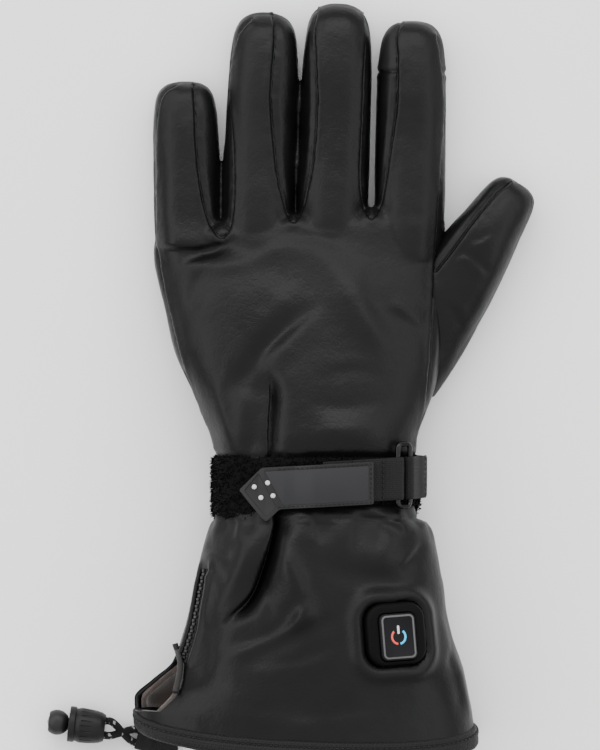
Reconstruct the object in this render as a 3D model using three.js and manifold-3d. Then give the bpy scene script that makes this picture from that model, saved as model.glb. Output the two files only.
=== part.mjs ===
// A left-hand heated gauntlet glove in black leather, in millimetres. It lies palm down on the plane z = 0:
// +Y runs from the cuff's hem to the fingertips, +X points to the thumb side and +Z out of the back of the hand.
// The leather is cut as the real pattern is: a back panel with the finger tops, a palm panel, a fourchette between
// each two fingers, a strip down each side, a thumb in two halves and a flared cuff with a bound hem.
import * as THREE from "three";
import { mergeVertices } from "three/addons/utils/BufferGeometryUtils.js";
import Module from "manifold-3d";

const wasm = await Module();
wasm.setup();

// Driving dimensions of the glove as it lies.
const CUFF_LENGTH = 119; // hem to the middle of the wrist band
const PALM_LENGTH = 115; // middle of the wrist band to the line of the finger crotches
const HEM_WIDTH = 149.4;
const HEM_DEPTH = 57;
const WRIST_WIDTH = 86.8;
const WRIST_DEPTH = 46;
const WRIST_LIFT = 2.8; // the cinched wrist stands clear of the ground
const PALM_WIDTH = 129.8;
const KNUCKLE_DEPTH = 32.5;
const FINGER_DEPTH = 29; // thickness of a finger at its root
const LEATHER = 2.2;
const SEAM_GAP = 0.3; // clearance wherever two pieces meet

// The wrist closure.
const BAND_WIDTH = 28;
const BAND_THICKNESS = 1.9;
const STRAP_WIDTH = 18.6;
const STRAP_THICKNESS = 1.3;
const STRAP_SLOPE = 0.055; // the strap climbs towards the thumb side
const RING_WIRE = 2.2;
const RING_GAP = 4.4; // clear opening between the ring's two long bars
const RING_LENGTH = 25; // clear opening along the bars
const TAB_LENGTH = 58.5;
const TAB_WIDTH = 18.6;
const TAB_THICKNESS = 2.4;
const TAB_RIM = 1.4;
const TAB_RECESS = 0.9;
const NUB_DIAMETER = 2.2;

// The cuff's fittings.
const LINING = 2.6;
const HEM_BINDING = 8.5;
const BINDING_PROUD = 1.3;
const POD_WIDTH = 29;
const POD_LENGTH = 30.5;
const POD_HEIGHT = 6.4;
const KEY_WIDTH = 16.5;
const KEY_LENGTH = 20.5;
const KEY_TRAVEL = 0.8;
const CORD_DIAMETER = 3.4;
const CORD_SPACING = 5.8;
const LOCK_DIAMETER = 15.8;
const LOCK_LENGTH = 16;
const LOCK_TRAVEL = 2.5;
const KNOB_DIAMETER = 11.2;
const STEM_DIAMETER = 5;

// Sections of the cuff from the hem (0) to the wrist (1). along is a share of CUFF_LENGTH, flare of the way from the
// wrist's size to the hem's, lean a share of PALM_WIDTH, bow a share of CUFF_LENGTH by which the top reaches forward,
// and slant the climb across the width.
const CUFF_SECTIONS = [
  { along: 0.08, flare: 1.0, deep: 1.0, lean: -0.03, bow: 0.08, slant: -0.05 },
  { along: 0.2, flare: 0.985, deep: 1.0, lean: -0.042, bow: 0.075, slant: -0.04 },
  { along: 0.27, flare: 0.83, deep: 0.98, lean: -0.019, bow: 0.067, slant: -0.03 },
  { along: 0.34, flare: 0.66, deep: 0.95, lean: 0.006, bow: 0.06, slant: -0.02 },
  { along: 0.5, flare: 0.46, deep: 0.86, lean: 0.007, bow: 0.045, slant: 0 },
  { along: 0.67, flare: 0.34, deep: 0.8, lean: 0.011, bow: 0.03, slant: 0 },
  { along: 0.82, flare: 0.215, deep: 0.66, lean: 0.015, bow: 0.01, slant: 0 },
  { along: 0.872, flare: 0.11, deep: 0.3, lean: 0.008, bow: 0, slant: 0 },
  { along: 0.885, flare: 0.0, deep: 0.0, lean: 0, bow: 0, slant: 0 },
  { along: 1.0, flare: 0.0, deep: 0.0, lean: 0, bow: 0, slant: 0 },
];

// Sections of the hand from the wrist (0) to the finger crotches (1), and round the crotches to the closed end.
// along is a share of PALM_LENGTH, flare of the way from the wrist's size to the palm's, end a shrink of the section.
const HAND_SECTIONS = [
  { along: 0.0, flare: 0.0, deep: 0.0, lean: 0, slant: 0, end: 0 },
  { along: 0.115, flare: 0.0, deep: 0.0, lean: 0, slant: 0, end: 0 },
  { along: 0.135, flare: 0.04, deep: -0.12, lean: 0, slant: 0, end: 0 },
  { along: 0.2, flare: 0.1, deep: -0.13, lean: -0.004, slant: 0.01, end: 0 },
  { along: 0.36, flare: 0.44, deep: 0.04, lean: -0.004, slant: 0.02, end: 0 },
  { along: 0.53, flare: 0.715, deep: 0.28, lean: -0.025, slant: 0.03, end: 0 },
  { along: 0.71, flare: 0.84, deep: 0.56, lean: -0.039, slant: 0.05, end: 0 },
  { along: 0.88, flare: 0.95, deep: 0.9, lean: -0.053, slant: 0.08, end: 0 },
  { along: 0.97, flare: 0.98, deep: 1.0, lean: -0.056, slant: 0.09, end: 0.02 },
  { along: 1.015, flare: 0.98, deep: 1.06, lean: -0.056, slant: 0.09, end: 0.14 },
  { along: 1.045, flare: 0.97, deep: 1.1, lean: -0.056, slant: 0.09, end: 0.42 },
];

// The four fingers. across is a share of PALM_WIDTH from the little-finger side, up a share of PALM_LENGTH from the
// crotch line, and splay the lean towards the thumb in degrees.
const FINGERS = [
  { name: "little", length: 69.5, width: 29.4, depth: 0.93, across: 0.1225, up: -0.049, splay: -1.5 },
  { name: "ring", length: 95.5, width: 31.6, depth: 1.0, across: 0.356, up: -0.01, splay: 2.4 },
  { name: "middle", length: 95, width: 31.2, depth: 1.02, across: 0.612, up: 0.028, splay: 1.9 },
  { name: "index", length: 87, width: 31, depth: 1.0, across: 0.876, up: 0.031, splay: 0.9 },
];

// Sections along one finger: along is a share of its length, width of its width, top and bottom of its depth.
const FINGER_SECTIONS = [
  { along: -0.24, width: 0.84, top: 1.02, bottom: 0.06 },
  { along: -0.04, width: 0.97, top: 1.07, bottom: 0.02 },
  { along: 0.16, width: 1.0, top: 1.02, bottom: 0.01 },
  { along: 0.45, width: 0.99, top: 0.93, bottom: 0.0 },
  { along: 0.7, width: 0.97, top: 0.88, bottom: 0.0 },
  { along: 0.86, width: 0.9, top: 0.8, bottom: 0.02 },
  { along: 0.94, width: 0.77, top: 0.71, bottom: 0.08 },
  { along: 0.985, width: 0.52, top: 0.57, bottom: 0.19 },
  { along: 1.0, width: 0.24, top: 0.45, bottom: 0.3 },
];

// The thumb, whose axis starts inside the palm. across is a share of PALM_WIDTH, up of PALM_LENGTH from the wrist.
const THUMB = { length: 89.5, width: 39, depth: 29, across: 0.874, up: 0.51, splay: 33 };
const THUMB_SECTIONS = [
  { along: -0.32, width: 0.78, top: 0.72, bottom: 0.08 },
  { along: -0.18, width: 0.99, top: 0.8, bottom: 0.04 },
  { along: 0.05, width: 1.02, top: 0.86, bottom: 0.02 },
  { along: 0.22, width: 0.99, top: 0.9, bottom: 0.0 },
  { along: 0.42, width: 0.92, top: 0.95, bottom: 0.0 },
  { along: 0.6, width: 0.82, top: 0.97, bottom: 0.0 },
  { along: 0.76, width: 0.7, top: 0.9, bottom: 0.0 },
  { along: 0.88, width: 0.59, top: 0.8, bottom: 0.04 },
  { along: 0.95, width: 0.47, top: 0.7, bottom: 0.12 },
  { along: 0.985, width: 0.32, top: 0.58, bottom: 0.22 },
  { along: 1.0, width: 0.15, top: 0.47, bottom: 0.32 },
];

// Main folds of the upper leather. across is a share of PALM_WIDTH from the wrist's middle, up a share of CUFF_LENGTH
// from the hem, heading the fold's direction in degrees from +X, half and spread shares of PALM_WIDTH for its half
// length and softness, and rise a share of HEM_DEPTH, below zero for a valley.
const FOLDS = [
  { across: -0.41, up: 1.885, heading: 2, half: 0.15, spread: 0.03, rise: -0.055 },
  { across: -0.41, up: 1.83, heading: 2, half: 0.15, spread: 0.035, rise: 0.02 },
  { across: -0.03, up: 1.93, heading: -3, half: 0.13, spread: 0.035, rise: -0.03 },
  { across: 0.12, up: 1.7, heading: -58, half: 0.2, spread: 0.05, rise: 0.03 },
  { across: -0.17, up: 1.5, heading: 52, half: 0.16, spread: 0.035, rise: -0.035 },
  { across: -0.19, up: 1.27, heading: 82, half: 0.15, spread: 0.04, rise: -0.075 },
  { across: -0.33, up: 1.24, heading: 100, half: 0.12, spread: 0.05, rise: 0.03 },
  { across: 0.13, up: 1.2, heading: 0, half: 0.16, spread: 0.05, rise: 0.035 },
  { across: -0.17, up: 0.73, heading: 68, half: 0.2, spread: 0.035, rise: -0.085 },
  { across: -0.29, up: 0.66, heading: 62, half: 0.15, spread: 0.04, rise: 0.035 },
  { across: -0.07, up: 0.62, heading: 108, half: 0.16, spread: 0.05, rise: 0.045 },
  { across: -0.1, up: 0.44, heading: 24, half: 0.16, spread: 0.035, rise: -0.035 },
  { across: 0.16, up: 0.68, heading: -20, half: 0.16, spread: 0.05, rise: -0.035 },
];

const WRIST_Y = CUFF_LENGTH;
const CROTCH_Y = CUFF_LENGTH + PALM_LENGTH;
const BODY_SIDES = 24;
const FINGER_SIDES = 10;
const CROWN = 2.35; // squareness of the upper half of a section, 2 is an ellipse
const BELLY = 3.2;
const WAIST = 0.44; // height of the widest line, as a share of a section's depth
const SMOOTHING = 0.07; // facets closer than this to their neighbours are merged
const FLATTEN = 2.2; // how far the leather that rests is pressed flat

// Solids from rings and outlines.

function solidFrom(points, faces) {
  const vertProperties = new Float32Array(points.flatMap((p) => [p.x, p.y, p.z]));
  const make = (triVerts) => new wasm.Manifold(new wasm.Mesh({ numProp: 3, vertProperties, triVerts }));
  const solid = make(new Uint32Array(faces));
  if (solid.volume() > 0) return solid;
  return make(new Uint32Array(faces).reverse());
}

function middleOf(ring) {
  return ring.reduce((sum, p) => sum.add(p), new THREE.Vector3()).divideScalar(ring.length);
}

// A skin through rings of equal count. With closed true the last ring joins the first, else both ends are capped.
function loft(rings, closed = false) {
  const count = rings[0].length;
  const faces = [];
  const spans = closed ? rings.length : rings.length - 1;
  for (let r = 0; r < spans; r++) {
    const here = r * count;
    const next = ((r + 1) % rings.length) * count;
    for (let i = 0; i < count; i++) {
      const j = (i + 1) % count;
      faces.push(here + i, here + j, next + j, here + i, next + j, next + i);
    }
  }
  const points = rings.flat();
  if (!closed) {
    const last = (rings.length - 1) * count;
    points.push(middleOf(rings[0]), middleOf(rings[rings.length - 1]));
    for (let i = 0; i < count; i++) {
      const j = (i + 1) % count;
      faces.push(points.length - 2, j, i, points.length - 1, last + i, last + j);
    }
  }
  return solidFrom(points, faces);
}

function solidOf(geometry) {
  const bare = geometry.index ? geometry : geometry.clone();
  bare.deleteAttribute("normal");
  bare.deleteAttribute("uv");
  const merged = mergeVertices(bare, 1e-4);
  const at = merged.getAttribute("position");
  const points = Array.from({ length: at.count }, (_, i) => new THREE.Vector3().fromBufferAttribute(at, i));
  return solidFrom(points, Array.from(merged.index.array));
}

function largest(solid, count = 1) {
  return solid.decompose().sort((a, b) => b.volume() - a.volume()).slice(0, count);
}

function boxSolid(from, to) {
  const size = new THREE.Vector3().subVectors(to, from);
  const geometry = new THREE.BoxGeometry(size.x, size.y, size.z);
  geometry.translate((from.x + to.x) / 2, (from.y + to.y) / 2, (from.z + to.z) / 2);
  return solidOf(geometry);
}

// Reads a table of sections at one value of its column along, easing through the rows.
function readTable(rows, along) {
  const last = rows.length - 1;
  let i = 0;
  while (i < last - 1 && along > rows[i + 1].along) i++;
  const [a, b] = [rows[i], rows[i + 1]];
  const before = rows[Math.max(i - 1, 0)];
  const after = rows[Math.min(i + 2, last)];
  const span = b.along - a.along;
  const t = THREE.MathUtils.clamp((along - a.along) / span, 0, 1);
  const slope = (p, q, column) => (q.along > p.along ? (q[column] - p[column]) / (q.along - p.along) : 0);
  const made = { along };
  for (const column of Object.keys(a).filter((key) => key !== "along")) {
    const rise = slope(a, b, column);
    const steep = (s) => (s * rise <= 0 ? 0 : Math.sign(rise) * Math.min(Math.abs(s), 3 * Math.abs(rise)));
    const inSlope = steep(slope(before, b, column)) * span;
    const outSlope = steep(slope(a, after, column)) * span;
    const t2 = t * t;
    const t3 = t2 * t;
    made[column] =
      (2 * t3 - 3 * t2 + 1) * a[column] +
      (t3 - 2 * t2 + t) * inSlope +
      (3 * t2 - 2 * t3) * b[column] +
      (t3 - t2) * outSlope;
  }
  return made;
}

// The body of the glove, from the hem to the finger crotches.

function bodySection(y) {
  if (y < WRIST_Y) {
    const row = readTable(CUFF_SECTIONS, y / CUFF_LENGTH);
    return {
      y,
      centre: row.lean * PALM_WIDTH,
      half: (WRIST_WIDTH + row.flare * (HEM_WIDTH - WRIST_WIDTH)) / 2,
      top: WRIST_LIFT + WRIST_DEPTH + row.deep * (HEM_DEPTH - WRIST_DEPTH - WRIST_LIFT),
      bottom: WRIST_LIFT - Math.min(1, 3 * row.flare) * (WRIST_LIFT + FLATTEN),
      bow: row.bow * CUFF_LENGTH,
      slant: row.slant,
    };
  }
  const row = readTable(HAND_SECTIONS, (y - WRIST_Y) / PALM_LENGTH);
  const half = (WRIST_WIDTH + row.flare * (PALM_WIDTH - WRIST_WIDTH)) / 2;
  const top = WRIST_LIFT + WRIST_DEPTH + row.deep * (KNUCKLE_DEPTH - WRIST_DEPTH - WRIST_LIFT);
  const bottom = WRIST_LIFT - Math.min(1, 2.6 * row.flare) * (WRIST_LIFT + FLATTEN);
  return {
    y,
    centre: row.lean * PALM_WIDTH,
    half: half - row.end * KNUCKLE_DEPTH * 0.5,
    top: top - row.end * KNUCKLE_DEPTH * 0.5,
    bottom: bottom + row.end * KNUCKLE_DEPTH * 0.6,
    bow: 0,
    slant: row.slant,
  };
}

// Height added to the upper leather by the folds at a point.
function foldHeight(x, y) {
  let height = 0;
  for (const fold of FOLDS) {
    const heading = THREE.MathUtils.degToRad(fold.heading);
    const dx = x - fold.across * PALM_WIDTH;
    const dy = y - fold.up * CUFF_LENGTH;
    const lengthwise = (dx * Math.cos(heading) + dy * Math.sin(heading)) / (fold.half * PALM_WIDTH);
    const sideways = (dy * Math.cos(heading) - dx * Math.sin(heading)) / (fold.spread * PALM_WIDTH);
    height += fold.rise * HEM_DEPTH * Math.exp(-(lengthwise ** 4) - sideways ** 2);
  }
  return height;
}

// A point of a section: turn 0 is the +X side, a quarter the top. inset moves the outline inwards.
function sectionPoint(section, turn, inset) {
  const c = Math.cos(turn);
  const s = Math.sin(turn);
  const squareness = s >= 0 ? CROWN : BELLY;
  const waist = section.bottom + WAIST * (section.top - section.bottom);
  const reach = s >= 0 ? section.top - inset - waist : waist - section.bottom - inset;
  const x = section.centre + (section.half - inset) * Math.sign(c) * Math.abs(c) ** (2 / squareness);
  const y = section.y + section.slant * (x - section.centre) - section.bow * Math.max(0, s);
  let z = waist + reach * Math.sign(s) * Math.abs(s) ** (2 / squareness);
  if (s > 0) z += foldHeight(x, y) * Math.min(1, 2.5 * s * s);
  return new THREE.Vector3(x, y, Math.max(z, inset, 0));
}

function bodyRing(y, inset, sides = BODY_SIDES) {
  const section = bodySection(y);
  return Array.from({ length: sides }, (_, i) => sectionPoint(section, (2 * Math.PI * i) / sides, inset));
}

// Station lines of the loft: the table's own rows, and lines between them where they stand far apart.
function stations(rows, length, start, step) {
  const made = [];
  rows.forEach((row, i) => {
    made.push(start + row.along * length);
    if (i === rows.length - 1) return;
    const span = (rows[i + 1].along - row.along) * length;
    const extra = Math.max(0, Math.round(span / step) - 1);
    for (let k = 1; k <= extra; k++) made.push(start + row.along * length + (span * k) / (extra + 1));
  });
  return made;
}

const CUFF_STATIONS = stations(CUFF_SECTIONS, CUFF_LENGTH, 0, 13);
const HAND_STATIONS = stations(HAND_SECTIONS, PALM_LENGTH, WRIST_Y, 18);

// A finger or the thumb: rings across its own axis.

function digitFrame(digit, rootX, rootY) {
  const splay = THREE.MathUtils.degToRad(digit.splay);
  return {
    root: new THREE.Vector3(rootX, rootY, 0),
    ahead: new THREE.Vector3(Math.sin(splay), Math.cos(splay), 0),
    side: new THREE.Vector3(Math.cos(splay), -Math.sin(splay), 0),
    splay,
  };
}

function digitRings(rows, size, frame, inset, sides) {
  return rows.map((row) => {
    const along = Math.min(row.along * size.length, size.length - inset);
    const half = Math.max((row.width * size.width) / 2 - inset, 0.6);
    const top = Math.max(row.top * size.depth - inset, row.bottom * size.depth + inset + 1.2);
    const bottom = row.bottom * size.depth - FLATTEN * 0.4 + inset;
    const waist = bottom + WAIST * (top - bottom);
    return Array.from({ length: sides }, (_, i) => {
      const turn = (2 * Math.PI * i) / sides;
      const c = Math.cos(turn);
      const s = Math.sin(turn);
      const squareness = s >= 0 ? CROWN : BELLY;
      const sideways = half * Math.sign(c) * Math.abs(c) ** (2 / squareness);
      const reach = s >= 0 ? top - waist : waist - bottom;
      const z = waist + reach * Math.sign(s) * Math.abs(s) ** (2 / squareness);
      const shrink = Math.max(0, inset) * (row.along >= 1 ? 1 : 0);
      const point = frame.root.clone().addScaledVector(frame.ahead, along - shrink * 0.2);
      point.addScaledVector(frame.side, sideways);
      return point.setZ(Math.max(z, inset, 0));
    });
  });
}

const palmLeft = bodySection(CROTCH_Y - 0.03 * PALM_LENGTH).centre - PALM_WIDTH / 2;
for (const finger of FINGERS) {
  finger.size = { length: finger.length, width: finger.width, depth: finger.depth * FINGER_DEPTH };
  finger.frame = digitFrame(finger, palmLeft + finger.across * PALM_WIDTH, CROTCH_Y + finger.up * PALM_LENGTH);
}
THUMB.size = { length: THUMB.length, width: THUMB.width, depth: THUMB.depth };
THUMB.frame = digitFrame(THUMB, palmLeft + THUMB.across * PALM_WIDTH, WRIST_Y + THUMB.up * PALM_LENGTH);

const fingerSolid = (finger, inset) =>
  loft(digitRings(FINGER_SECTIONS, finger.size, finger.frame, inset, FINGER_SIDES));
const thumbSolid = (inset) => loft(digitRings(THUMB_SECTIONS, THUMB.size, THUMB.frame, inset, FINGER_SIDES));

// The hand without its thumb, as a full body whose surface lies inset within the outer leather.
function handSolid(inset) {
  const lines = HAND_STATIONS.map((y, i) => (i === HAND_STATIONS.length - 1 ? y - inset : y));
  const start = inset > 0 ? [lines[0] - 4, ...lines.slice(1)] : lines;
  const rings = start.map((y) => {
    const section = bodySection(Math.max(y, WRIST_Y));
    section.y = y;
    const turns = Array.from({ length: BODY_SIDES }, (_, i) => (2 * Math.PI * i) / BODY_SIDES);
    return turns.map((turn) => sectionPoint(section, turn, inset));
  });
  return FINGERS.reduce((hand, finger) => hand.add(fingerSolid(finger, inset)), loft(rings));
}

// Seams. A slab through the hand holds the side strips and the fourchettes; above it lies the back panel and below it
// the palm. Rows run along a finger; upper and lower are shares of the finger's depth.
const FINGER_SEAMS = [
  { along: -0.12, upper: 0.82, lower: 0.28 },
  { along: 0.2, upper: 0.81, lower: 0.27 },
  { along: 0.5, upper: 0.75, lower: 0.22 },
  { along: 0.84, upper: 0.64, lower: 0.22 },
  { along: 0.94, upper: 0.5, lower: 0.27 },
];
const SEAM_END = 0.36;
const PALM_SEAMS = [
  { along: -0.05, upper: 1.07, lower: 0.54 },
  { along: 0.88, upper: 0.74, lower: 0.26 },
  { along: 0.97, upper: 0.7, lower: 0.25 },
  { along: 1.0, upper: 0.64, lower: 0.25 },
  { along: 1.13, upper: 0.64, lower: 0.25 },
];

// A profile drawn lengthwise and upwards, extruded sideways about its own axis.
function slab(profile, frame, half) {
  const shape = new THREE.Shape(profile.map(([along, z]) => new THREE.Vector2(along, z)));
  const geometry = new THREE.ExtrudeGeometry(shape, { depth: 2 * half, bevelEnabled: false });
  const basis = new THREE.Matrix4().makeBasis(frame.ahead, new THREE.Vector3(0, 0, 1), frame.side);
  basis.setPosition(frame.root.clone().addScaledVector(frame.side, -half));
  geometry.applyMatrix4(basis);
  return solidOf(geometry);
}

function seamProfile(rows, length, depth, start, grow) {
  const lower = rows.map((row) => [start + row.along * length, row.lower * depth - grow]);
  const upper = rows.map((row) => [start + row.along * length, row.upper * depth + grow]);
  return { lower, upper: upper.reverse() };
}

const straight = digitFrame({ splay: 0 }, bodySection(CROTCH_Y).centre, 0);

function seamSlab(grow) {
  const palm = seamProfile(PALM_SEAMS, PALM_LENGTH, KNUCKLE_DEPTH, WRIST_Y, grow);
  let made = slab([...palm.lower, ...palm.upper], straight, PALM_WIDTH);
  for (const finger of FINGERS) {
    const { lower, upper } = seamProfile(FINGER_SEAMS, finger.length, finger.size.depth, 0, grow);
    const z = SEAM_END * finger.size.depth;
    const end = finger.length - LEATHER - (grow > 0 ? 0 : 0.6);
    const tip = [
      [end, z - grow],
      ...(grow > 0 ? [[end + 8, z - grow], [end + 8, z + grow + 0.2]] : []),
      [end, z + grow + 0.2],
    ];
    made = made.add(slab([...lower, ...tip, ...upper], finger.frame, finger.width / 2 + 0.4));
  }
  return made;
}

const handOuter = handSolid(0);
const handHollow = handSolid(LEATHER);
const thumbHollow = thumbSolid(LEATHER);
const belowHand = boxSolid(
  new THREE.Vector3(-PALM_WIDTH, WRIST_Y - 40, -20),
  new THREE.Vector3(PALM_WIDTH, WRIST_Y + SEAM_GAP / 2, 2 * HEM_DEPTH),
);
const handShell = handOuter.subtract(handHollow).subtract(belowHand).subtract(thumbHollow);

// The thumb is sewn from a back and a palm half, along a seam at mid height.
const THUMB_SEAM = { root: 0.5, tip: 0.42 };
const thumbSeam = slab(
  [
    [-THUMB.length, THUMB_SEAM.root * THUMB.depth],
    [1.2 * THUMB.length, THUMB_SEAM.tip * THUMB.depth],
    [1.2 * THUMB.length, THUMB_SEAM.tip * THUMB.depth + SEAM_GAP],
    [-THUMB.length, THUMB_SEAM.root * THUMB.depth + SEAM_GAP],
  ],
  THUMB.frame,
  THUMB.width,
);
const thumbShell = thumbSolid(0).subtract(thumbHollow).subtract(handSolid(-SEAM_GAP)).subtract(thumbSeam);

// The touch-screen tip is a cap of leather over the end of the index finger, under its back panel.
const TOUCH_TIP_SHARE = 0.74;
const index = FINGERS[FINGERS.length - 1];
function touchTipRegion(grow) {
  const start = TOUCH_TIP_SHARE * index.length - grow;
  const end = index.length + 8;
  const profile = [[start, -10], [end, -10], [end, KNUCKLE_DEPTH], [start, KNUCKLE_DEPTH]];
  return slab(profile, index.frame, index.width / 2 + 1);
}

const bodiesOf = (solid, count) => largest(solid, count).sort((a, b) => leftOf(a) - leftOf(b));
const leftOf = (solid) => solid.boundingBox().min[0] + solid.boundingBox().max[0];
const topOf = (solid) => solid.boundingBox().max[2];
const panels = largest(handShell.subtract(seamSlab(SEAM_GAP)), 2);
const [backPanel, palmWhole] = panels.sort((a, b) => topOf(b) - topOf(a));
const palmPanel = largest(palmWhole.subtract(touchTipRegion(SEAM_GAP)))[0];
const sideWalls = bodiesOf(handShell.intersect(seamSlab(0)).subtract(touchTipRegion(SEAM_GAP)), FINGERS.length + 1);
const touchTip = largest(handShell.intersect(touchTipRegion(0)).subtract(aboveSeam(index)))[0];

// Everything above the index finger's upper seam.
function aboveSeam(finger) {
  const { upper } = seamProfile(FINGER_SEAMS, finger.length, finger.size.depth, 0, -0.001);
  const z = SEAM_END * finger.size.depth;
  const end = finger.length - LEATHER;
  const profile = [[end + 8, z], [end, z], ...upper, [-5, 3 * KNUCKLE_DEPTH], [end + 8, 3 * KNUCKLE_DEPTH]];
  return slab(profile, finger.frame, finger.width);
}

const [thumbBack, thumbPalm] = largest(thumbShell, 2).sort((a, b) => topOf(b) - topOf(a));

// A sleeve round the body between two insets. Both its skins are split along the same diagonals, so that a sleeve
// that starts where another ends in thickness follows it evenly over the folds.
function sleeve(lines, outer, inner) {
  const count = BODY_SIDES;
  const points = [...lines.flatMap((y) => bodyRing(y, outer)), ...lines.flatMap((y) => bodyRing(y, inner))];
  const under = lines.length * count;
  const faces = [];
  for (let i = 0; i < count; i++) {
    const j = (i + 1) % count;
    for (let r = 0; r < lines.length - 1; r++) {
      const [a, b, c, d] = [r * count + i, r * count + j, (r + 1) * count + j, (r + 1) * count + i];
      faces.push(a, b, c, a, c, d, under + a, under + c, under + b, under + a, under + d, under + c);
    }
    const end = (lines.length - 1) * count;
    faces.push(i, under + i, under + j, i, under + j, j);
    faces.push(end + i, under + end + j, under + end + i, end + i, end + j, under + end + j);
  }
  return solidFrom(points, faces);
}

const hemLine = CUFF_STATIONS[0];
const bindingLines = [hemLine, hemLine + HEM_BINDING / 2, hemLine + HEM_BINDING];
const cuffLines = [hemLine + HEM_BINDING + SEAM_GAP, ...CUFF_STATIONS.filter((y) => y > hemLine + HEM_BINDING + 2)];
cuffLines[cuffLines.length - 1] -= SEAM_GAP / 2;
const cuffShell = sleeve(cuffLines, 0, LEATHER);
const liningShell = sleeve(cuffLines, LEATHER + SEAM_GAP, LEATHER + SEAM_GAP + LINING);
const binding = sleeve(bindingLines, -BINDING_PROUD, LEATHER + SEAM_GAP + LINING);

// A bar along the cuff's side at one turn of its section, between two insets.
function sideRail(lines, turn, half, low, high) {
  const rings = lines.map((y, i) => {
    const section = bodySection(y);
    const d = half / (section.half * 0.6);
    const top = typeof high === "function" ? high(i) : high;
    return [
      sectionPoint(section, turn - d, low),
      sectionPoint(section, turn + d, low),
      sectionPoint(section, turn + d, top),
      sectionPoint(section, turn - d, top),
    ];
  });
  return loft(rings);
}

const ZIP_TURN = 2.82; // how far round the section the zip lies
const ZIP_START = 0.36; // shares of the cuff's length
const ZIP_END = 0.72;
const ZIP_HALF = 3;
const TEETH_HALF = 1.5;
const TEETH = 13;

const GUSSET_HEIGHT = 0.36; // lowest point of its upper edge, a share of the hem's depth
const GUSSET_EDGE = [
  { along: 0.1, across: -0.525 },
  { along: 0.172, across: -0.466 },
  { along: 0.268, across: -0.45 },
  { along: 0.345, across: -0.47 },
];

// The slit: seen from above, the upper leather ends at its edge and the lower leather flares out past it.
function gussetCut(grow) {
  const edge = GUSSET_EDGE.map((row) => [row.across * PALM_WIDTH + grow, row.along * CUFF_LENGTH + 9]);
  const outline = [[-PALM_WIDTH, edge[0][1]], ...edge, [-PALM_WIDTH, edge[edge.length - 1][1]]];
  const shape = new THREE.Shape(outline.map(([x, y]) => new THREE.Vector2(x, y)));
  const geometry = new THREE.ExtrudeGeometry(shape, { depth: 2 * HEM_DEPTH, bevelEnabled: false });
  geometry.translate(0, 0, GUSSET_HEIGHT * HEM_DEPTH);
  return solidOf(geometry);
}

const zipLines = cuffLines.filter((y) => y > ZIP_START * CUFF_LENGTH && y < ZIP_END * CUFF_LENGTH);
const slotLines = [zipLines[0] - 1.5, ...zipLines, zipLines[zipLines.length - 1] + 1.5];
const zipSlot = sideRail(slotLines, ZIP_TURN, ZIP_HALF + 0.6, LEATHER + 1, -3);
const zipTape = sideRail(zipLines, ZIP_TURN, ZIP_HALF, LEATHER - 0.1, LEATHER - 1.2);
const pitch = (zipLines[zipLines.length - 1] - zipLines[0]) / (4 * TEETH);
const teethLines = Array.from({ length: 4 * TEETH + 1 }, (_, i) => zipLines[0] + i * pitch);
const zipTeeth = sideRail(teethLines, ZIP_TURN, TEETH_HALF, LEATHER - 1.7, (i) => (i % 4 < 2 ? -0.5 : 0.3));

// The control sits in the cuff's upper leather, turned to the leather's own slope.
function topPoint(x, y, inset) {
  const section = bodySection(y);
  const share = THREE.MathUtils.clamp(Math.abs(x - section.centre) / (section.half - inset), 0, 0.999);
  const turn = Math.acos(share ** (CROWN / 2));
  return sectionPoint(section, x < section.centre ? Math.PI - turn : turn, inset);
}

function surfaceFrame(x, y, reach) {
  const origin = topPoint(x, y, 0);
  const side = new THREE.Vector3().subVectors(topPoint(x + reach, y, 0), topPoint(x - reach, y, 0)).normalize();
  const ahead = new THREE.Vector3().subVectors(topPoint(x, y + reach, 0), topPoint(x, y - reach, 0));
  const out = new THREE.Vector3().crossVectors(side, ahead).normalize();
  const along = new THREE.Vector3().crossVectors(out, side);
  return new THREE.Matrix4().makeBasis(side, along, out).setPosition(origin);
}

function roundedShape(width, length, radius) {
  const shape = new THREE.Shape();
  const [w, l] = [width / 2, length / 2];
  shape.moveTo(-w + radius, -l);
  shape.lineTo(w - radius, -l);
  shape.quadraticCurveTo(w, -l, w, -l + radius);
  shape.lineTo(w, l - radius);
  shape.quadraticCurveTo(w, l, w - radius, l);
  shape.lineTo(-w + radius, l);
  shape.quadraticCurveTo(-w, l, -w, l - radius);
  shape.lineTo(-w, -l + radius);
  shape.quadraticCurveTo(-w, -l, -w + radius, -l);
  return shape;
}

function block(width, length, radius, low, high, bevel = 0) {
  const geometry = new THREE.ExtrudeGeometry(roundedShape(width - 2 * bevel, length - 2 * bevel, radius), {
    depth: high - low - 2 * bevel,
    bevelEnabled: bevel > 0,
    bevelThickness: bevel,
    bevelSize: bevel,
    bevelSegments: 1,
    curveSegments: 3,
  });
  geometry.translate(0, 0, low + bevel);
  return solidOf(geometry);
}

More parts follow.
